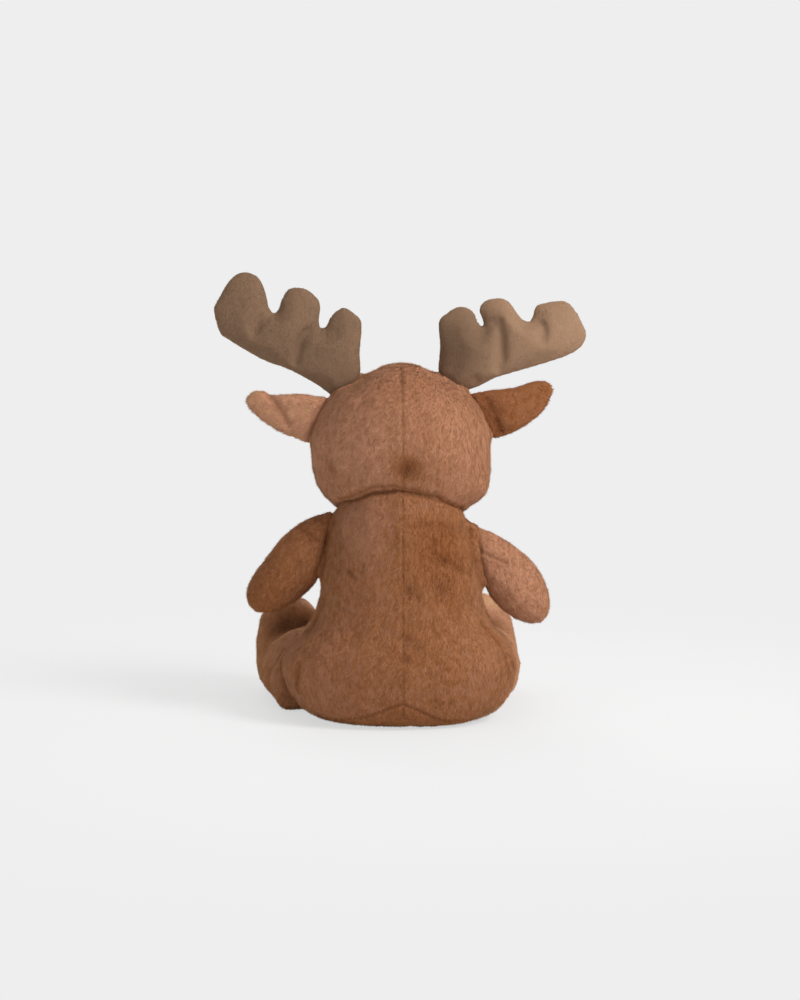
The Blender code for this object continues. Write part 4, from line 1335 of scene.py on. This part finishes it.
def button_frame(washer):
    """Where a button sits: its middle on the fabric, and its axis out of the head through its washer."""
    places = np.unique(np.round(points_of(washer), 7), axis=0)
    middle = places.mean(axis=0)
    axis = np.linalg.svd(places - middle)[2][2]
    if axis[1] > 0:
        axis = -axis
    up = Vector(axis)
    across = (Vector((1, 0, 0)) - up * up[0]).normalized()
    turn = Matrix((across, up.cross(across), up)).transposed().to_4x4()
    return Matrix.Translation(Vector(middle) + up * WASHER_DROP) @ turn


def turned_button(name, place, half_sizes):
    """A domed button with a rounded edge, a dished back and its stem, turned on its axis."""
    wide, tall, deep = half_sizes
    stem = STEM_RADIUS / wide
    profile = [(math.sin(t), math.cos(t)) for t in np.linspace(0.0, 0.5 * math.pi, 14)]
    profile += [(0.99, -0.12), (0.94, -0.22), (0.8, -0.3), (0.5, -0.34), (stem * 1.1, -0.36)]
    profile += [(stem, -0.5), (stem, -STEM_LENGTH / deep)]
    profile += [(0.7 * stem, -0.4 * MM / deep - STEM_LENGTH / deep)]
    bm = bmesh.new()
    rings = []
    for out, up in profile[1:]:
        ring = []
        for k in range(BUTTON_SIDES):
            turn = 2 * math.pi * k / BUTTON_SIDES
            ring.append(bm.verts.new((out * wide * math.cos(turn), out * tall * math.sin(turn), up * deep)))
        rings.append(ring)
    top = bm.verts.new((0, 0, deep))
    for k in range(BUTTON_SIDES):
        after = (k + 1) % BUTTON_SIDES
        bm.faces.new((top, rings[0][k], rings[0][after]))
        for upper, lower in zip(rings, rings[1:]):
            bm.faces.new((upper[k], lower[k], lower[after], upper[after]))
    bm.faces.new(reversed(rings[-1]))
    bm.transform(place)
    bmesh.ops.recalc_face_normals(bm, faces=bm.faces)
    return object_from(name, bm)


def carry(obj, body, give=None):
    """Without a give, the piece moves with its body; with one, the piece's transform is only applied to its
    mesh.
    """
    if give is None:
        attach(obj, body)
        return
    joint = next(joint for joint in JOINTS.values() if joint["child"] == body)
    start, axis = Vector(joint["pos_m"]), Vector(joint["axis"]).normalized()
    out = Vector(points_of(bpy.data.objects[body]).mean(axis=0)) - start
    out = (out - axis * out.dot(axis)).normalized()
    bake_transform(obj)


def coat(base, nap, seed, strands, body, give=None, tan=None, length=1.0, spread=0.3):
    """Puts the pile on a finished skin, and hands both to carry, so that they move with the body when no
    give is passed.
    """
    sizes = settings().sizes
    area = sum(face.area for face in base.data.polygons) / MM**2
    count = int(area * sizes.pile_density)
    reach = length * sizes.pile_length
    made = pile_coat(base, count, reach, sizes.pile_width, nap, PILE_SEED + seed, tan, spread)
    for material in strands:
        made.data.materials.append(material)
    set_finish(made, base["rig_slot"])
    carry(made, body, give)
    carry(base, body, give)


def tan_below(which, panels, tan_panels):
    """1 for each point whose nearest panel is a tan one, and 0 for the others."""
    return np.isin(which, [panels.index(panel) for panel in tan_panels]).astype(int)


class PLUSHDEER_OT_torso(bpy.types.Operator):
    """Makes the stuffed torso"""

    bl_idname = "plush_deer.torso"
    bl_label = "Torso"

    def execute(self, context):
        folds, seed = FOLDS["torso"], SEEDS["torso"]
        plugs = [(f"arm_{name}_swing", *ARM_PLUG) for name in SIDES]
        plugs += [(f"leg_{name}_spread", *LEG_PLUG) for name in SIDES]
        torso = fused_skin("torso", TORSO_PANELS + ("torso_filling",), settings().sizes.skin_step, plugs)
        smooth(torso, 10)
        stuffed(torso, TORSO_PANELS)
        refine(torso, 2)
        sculpt(torso, folds.bulges)
        tuck(torso, 1)
        points = points_of(torso)
        which, seam = panel_split(points, TORSO_PANELS)
        at_seat = (points[:, 1] > SEAT_BACK) & (points[:, 2] < SEAT_TOP) & (np.abs(points[:, 0]) > 2 * MM)
        finish_skin(torso, np.where(at_seat, FAR, seam), [], folds, seed)
        self.seat_strip(torso)
        tan = tan_below(which, TORSO_PANELS, ["belly_panel"]) * (points_of(torso)[:, 1] < BELLY_BACK)
        shade(torso, [brown_plush(), tan_plush()], tan)
        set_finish(torso, "brown_plush")
        coat(torso, (0, 0, -1), seed, brown_and_tan_strands(), "torso", tan=belly_place, spread=0.24)
        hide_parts(*TORSO_PANELS, "torso_filling", "bead_pouch")
        return {"FINISHED"}

    def seat_strip(self, torso):
        """The sewn edge of the seat panel at the back, with painted shade along it, and painted shade on the
        strip under it.
        """
        points, normals = points_of(torso), normals_of(torso)
        seam = np.array(SEAT_SEAM) * MM
        near = line_distance(points, seam, normals)
        move_points(torso, points - normals * (0.8 * MM * bell(near, 1.5 * MM))[:, None])
        # Painted shade along the seam.
        set_mask(torso, "crease", np.maximum(mask_of(torso, "crease"), 0.5 * bell(near, 1.3 * MM)))
        # Painted shade on the strip under the seam, at the back.
        under = np.interp(points[:, 0], seam[:, 0], seam[:, 2]) - points[:, 2]
        share = np.clip(under / (2 * MM), 0, 1) * (points[:, 1] > SEAT_BACK)
        set_mask(torso, "nap", mask_of(torso, "nap") - 0.45 * share)


def belly_place(points):
    """Whether a place on the torso has the tan belly fabric."""
    return (points[:, 1] < BELLY_BACK) & (points[:, 2] > BELLY_LOW)


def muzzle_place(points):
    """Whether a place on the head has the tan muzzle fabric."""
    low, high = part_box("muzzle_panel")
    return (points[:, 1] < high[1] - 4 * MM) & (points[:, 2] < high[2]) & (points[:, 2] > low[2])


def lining_place(points):
    """Whether a place on an ear has the tan lining."""
    return points[:, 1] < HEAD_Y - 0.5 * MM


class PLUSHDEER_OT_head(bpy.types.Operator):
    """Makes the stuffed head"""

    bl_idname = "plush_deer.head"
    bl_label = "Head"

    def execute(self, context):
        folds, seed = FOLDS["head"], SEEDS["head"]
        plugs = [(f"ear_{name}_flex", *EAR_PLUG) for name in SIDES]
        plugs += [(f"antler_{name}_flex", *ANTLER_PLUG) for name in SIDES]
        neck = (JOINTS["head_nod"]["pos_m"], NECK_HALF_SIZES)
        head = fused_skin("head", HEAD_PANELS + ("head_filling",), settings().sizes.skin_step, plugs, neck)
        smooth(head, 5)
        stuffed(head, HEAD_PANELS)
        refine(head, 2)
        sculpt(head, folds.bulges)
        tuck(head, -1)
        which, seam = panel_split(points_of(head), HEAD_PANELS)
        finish_skin(head, seam, [(object_tree(bpy.data.objects["torso"]), 1.0 * MM)], folds, seed)
        shade(head, [brown_plush(), tan_plush()], tan_below(which, HEAD_PANELS, ["muzzle_panel"]))
        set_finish(head, "brown_plush")
        coat(head, (0.25, 0, -1), seed, brown_and_tan_strands(), "head", tan=muzzle_place)
        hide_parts(*HEAD_PANELS, "head_filling")
        return {"FINISHED"}


class PLUSHDEER_OT_limbs(bpy.types.Operator):
    """Makes the arms and legs"""

    bl_idname = "plush_deer.limbs"
    bl_label = "Arms and legs"

    def execute(self, context):
        torso_tree = object_tree(bpy.data.objects["torso"])
        for number, (name, side) in enumerate(SIDES.items()):
            panels = (f"arm_{name}_back_panel", f"arm_{name}_front_panel")
            nap = (0.6 * side, 0, -1)
            self.limb(f"arm_{name}", panels, ARM_STEP, torso_tree, nap, ARM_GIVE, SEEDS["arm"] + number)
            panels = (f"leg_{name}_outer_panel", f"leg_{name}_inner_panel", f"sole_{name}")
            nap = (0.2 * side, -0.6, -1)
            self.limb(f"leg_{name}", panels, LEG_STEP, torso_tree, nap, LEG_GIVE, SEEDS["leg"] + number)
        return {"FINISHED"}

    def limb(self, body, panels, step, torso_tree, nap, give, seed):
        """One arm or leg, with the mesh size step, whose pile is brushed along nap."""
        limb = fused_skin(body, panels + (f"{body}_filling",), step)
        smooth(limb, 4)
        stuffed(limb, panels)
        refine(limb, 2)
        sculpt(limb, FOLDS[body].bulges)
        which, seam = panel_split(points_of(limb), panels)
        finish_skin(limb, seam, [(torso_tree, 1.0 * MM)], FOLDS[body], seed)
        soles = [panel for panel in panels if panel.startswith("sole")]
        shade(limb, [brown_plush(), tan_plush()], tan_below(which, panels, soles))
        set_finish(limb, "brown_plush")

        def sole_place(places):
            return distances(tree_of(soles), places, 0.02) < 1.5 * MM

        tan = sole_place if soles else None
        coat(limb, nap, seed, brown_and_tan_strands(), body, give, tan)
        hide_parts(*panels, f"{body}_filling")


class PLUSHDEER_OT_antlers(bpy.types.Operator):
    """Makes the stuffed antlers"""

    bl_idname = "plush_deer.antlers"
    bl_label = "Antlers"

    def execute(self, context):
        head_tree = object_tree(bpy.data.objects["head"])
        for number, (name, side) in enumerate(SIDES.items()):
            body, seed = f"antler_{name}", SEEDS["antler"] + number
            outline, creases = ANTLER_OUTLINES[name], ANTLER_CREASES[name]
            antler = pillow(
                body, outline, ANTLER_HALF_THICKNESS, 2.0 * MM, 0.9 * MM, (0.3, 0.3), creases
            )
            stuffed_pillow(antler, 6.0, ANTLER_HALF_THICKNESS)
            seam = rim_distance(points_of(antler), outline)
            finish_skin(antler, seam, [(head_tree, 0.8 * MM)], FOLDS[body], seed, 0.4 * MM, 0.05 * MM)
            shade(antler, [taupe_plush()])
            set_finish(antler, "taupe_plush")
            nap = (side, 0, 0.4)
            coat(antler, nap, seed, taupe_strands(), body, ANTLER_GIVE, length=0.5, spread=0.17)
            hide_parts(f"{body}_back_panel", f"{body}_front_panel", f"{body}_filling")
        return {"FINISHED"}


class PLUSHDEER_OT_ears(bpy.types.Operator):
    """Makes the lined ears"""

    bl_idname = "plush_deer.ears"
    bl_label = "Ears"

    def execute(self, context):
        head_tree = object_tree(bpy.data.objects["head"])
        for number, (name, side) in enumerate(SIDES.items()):
            body, outline, seed = f"ear_{name}", EAR_OUTLINES[name], SEEDS["ear"] + number
            ear = pillow(body, outline, EAR_HALF_THICKNESS, 1.8 * MM, 0.5 * MM, (0.3, 0.6))
            stuffed_pillow(ear, 2.5, EAR_HALF_THICKNESS)
            points = points_of(ear)
            seam = rim_distance(points, outline)
            finish_skin(ear, seam, [(head_tree, 0.8 * MM)], FOLDS[body], seed, 0.4 * MM, 0.12 * MM)
            shade(ear, [brown_plush(), tan_plush()], lining_place(points).astype(int))
            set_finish(ear, "brown_plush")
            coat(ear, (side, 0, 0.1), seed, brown_and_tan_strands(), body, EAR_GIVE, tan=lining_place)
            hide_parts(f"{body}_back_panel", f"{body}_lining")
        return {"FINISHED"}


class PLUSHDEER_OT_buttons(bpy.types.Operator):
    """Makes the eyes and the nose"""

    bl_idname = "plush_deer.buttons"
    bl_label = "Eyes and nose"

    def execute(self, context):
        for name, half_sizes in BUTTONS.items():
            washer = frame["nodes"][name + "_washer"]
            shade(washer, [clear_plastic()])
            button = turned_button(name + "_button", button_frame(washer), half_sizes)
            shade(button, [black_plastic()])
            carry(button, "head")
            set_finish(button, "black_plastic")
            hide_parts(name)
        return {"FINISHED"}


def seen_by(tree):
    """1 for what the camera sees, straight, in a reflection or through something clear."""
    rays = node(tree, "ShaderNodeLightPath").outputs
    mirrored = maths(tree, "MAXIMUM", rays["Is Camera Ray"], rays["Is Glossy Ray"])
    return maths(tree, "MAXIMUM", mirrored, rays["Is Transmission Ray"])


class PLUSHDEER_OT_studio(bpy.types.Operator):
    """Makes the floor, the light and the camera"""

    bl_idname = "plush_deer.studio"
    bl_label = "Studio"

    def execute(self, context):
        studio = settings().studio
        self.floor(studio)
        self.world(context.scene, studio)
        for name, (place, size, power) in LAMPS.items():
            self.lamp(name, place, size, power)
        self.camera(context.scene, studio)
        context.scene.view_settings.view_transform = "Standard"
        return {"FINISHED"}

    def floor(self, studio):
        """A wide floor that fades into the backdrop and keeps the deer's shadow."""
        bm = bmesh.new()
        bmesh.ops.create_grid(bm, x_segments=4, y_segments=4, size=FLOOR_HALF_WIDTH)
        floor = object_from("floor", bm)
        colour = (*studio.backdrop, 1)
        matt = {"Roughness": 1.0, "Specular IOR Level": 0.0, "Base Color": colour}
        material, tree, _ = new_material("pale_floor", matt)
        shader = tree.nodes["Principled BSDF"]
        glow = node(tree, "ShaderNodeEmission", {"Color": colour})
        away = vector_maths(tree, "LENGTH", object_place(tree))
        even = map_range(tree, away, from_min=0.12, from_max=0.55, to_min=0.72, to_max=1.0)
        even.interpolation_type = "SMOOTHSTEP"
        share = maths(tree, "MULTIPLY", seen_by(tree), even.outputs["Result"])
        blend = {0: share, 1: shader.outputs["BSDF"], 2: glow.outputs["Emission"]}
        mix = node(tree, "ShaderNodeMixShader", blend)
        tree.links.new(mix.outputs["Shader"], tree.nodes["Material Output"].inputs["Surface"])
        floor.data.materials.append(material)

    def world(self, scene, studio):
        """Plain white light, and the backdrop for what the camera sees."""
        world = bpy.data.worlds.new("pale_room")
        scene.world = world
        world.use_nodes = True
        tree = world.node_tree
        tree.nodes.clear()
        seen = node(tree, "ShaderNodeBackground", {"Color": (*studio.backdrop, 1)})
        light = node(tree, "ShaderNodeBackground", {"Color": (1, 1, 1, 1), "Strength": ROOM_LIGHT})
        blend = {0: seen_by(tree), 1: light.outputs["Background"], 2: seen.outputs["Background"]}
        mix = node(tree, "ShaderNodeMixShader", blend)
        node(tree, "ShaderNodeOutputWorld", {"Surface": mix.outputs["Shader"]})

    def lamp(self, name, place, size, power):
        """A round lamp that is turned towards the deer."""
        data = bpy.data.lights.new(name, "AREA")
        data.shape = "DISK"
        data.size = size
        data.energy = power
        lamp = add_object(name, data)
        lamp.location = place
        lamp.rotation_euler = (LAMP_AIM - Vector(place)).to_track_quat("-Z", "Y").to_euler()

    def camera(self, scene, studio):
        data = bpy.data.cameras.new("camera")
        data.lens = studio.lens
        data.sensor_width = SENSOR_WIDTH
        camera = add_object("camera", data)
        flat = math.cos(studio.elevation)
        back = Vector(
            (math.sin(studio.azimuth) * flat, math.cos(studio.azimuth) * flat, math.sin(studio.elevation))
        )
        camera.location = CAMERA_TARGET + studio.distance * back
        camera.rotation_euler = (-back).to_track_quat("-Z", "Y").to_euler()
        scene.camera = camera


class PLUSHDEER_PT_panel(bpy.types.Panel):
    """The deer's pieces, sizes and colours"""

    bl_idname = "PLUSHDEER_PT_panel"
    bl_label = "Plush deer"
    bl_space_type = "VIEW_3D"
    bl_region_type = "UI"
    bl_category = "Plush deer"

    def draw(self, context):
        layout = self.layout
        for operator in OPERATORS:
            layout.operator(operator.bl_idname)
        deer = context.scene.plush_deer
        for group in (deer.colours, deer.sizes, deer.studio):
            box = layout.box()
            for name in group.__annotations__:
                box.prop(group, name)


OPERATORS = (
    PLUSHDEER_OT_studio,
    PLUSHDEER_OT_torso,
    PLUSHDEER_OT_head,
    PLUSHDEER_OT_limbs,
    PLUSHDEER_OT_antlers,
    PLUSHDEER_OT_ears,
    PLUSHDEER_OT_buttons,
)
CLASSES = (PlushColours, PlushSizes, StudioSettings, PlushDeerSettings, *OPERATORS, PLUSHDEER_PT_panel)


def register():
    for cls in CLASSES:
        bpy.utils.register_class(cls)
    bpy.types.Scene.plush_deer = bpy.props.PointerProperty(type=PlushDeerSettings)


def unregister():
    del bpy.types.Scene.plush_deer
    for cls in reversed(CLASSES):
        bpy.utils.unregister_class(cls)


def main():
    register()
    bpy.ops.plush_deer.studio()
    bpy.ops.plush_deer.torso()
    bpy.ops.plush_deer.head()
    bpy.ops.plush_deer.limbs()
    bpy.ops.plush_deer.antlers()
    bpy.ops.plush_deer.ears()
    bpy.ops.plush_deer.buttons()
    bpy.context.view_layer.update()


if __name__ == "__main__":
    main()
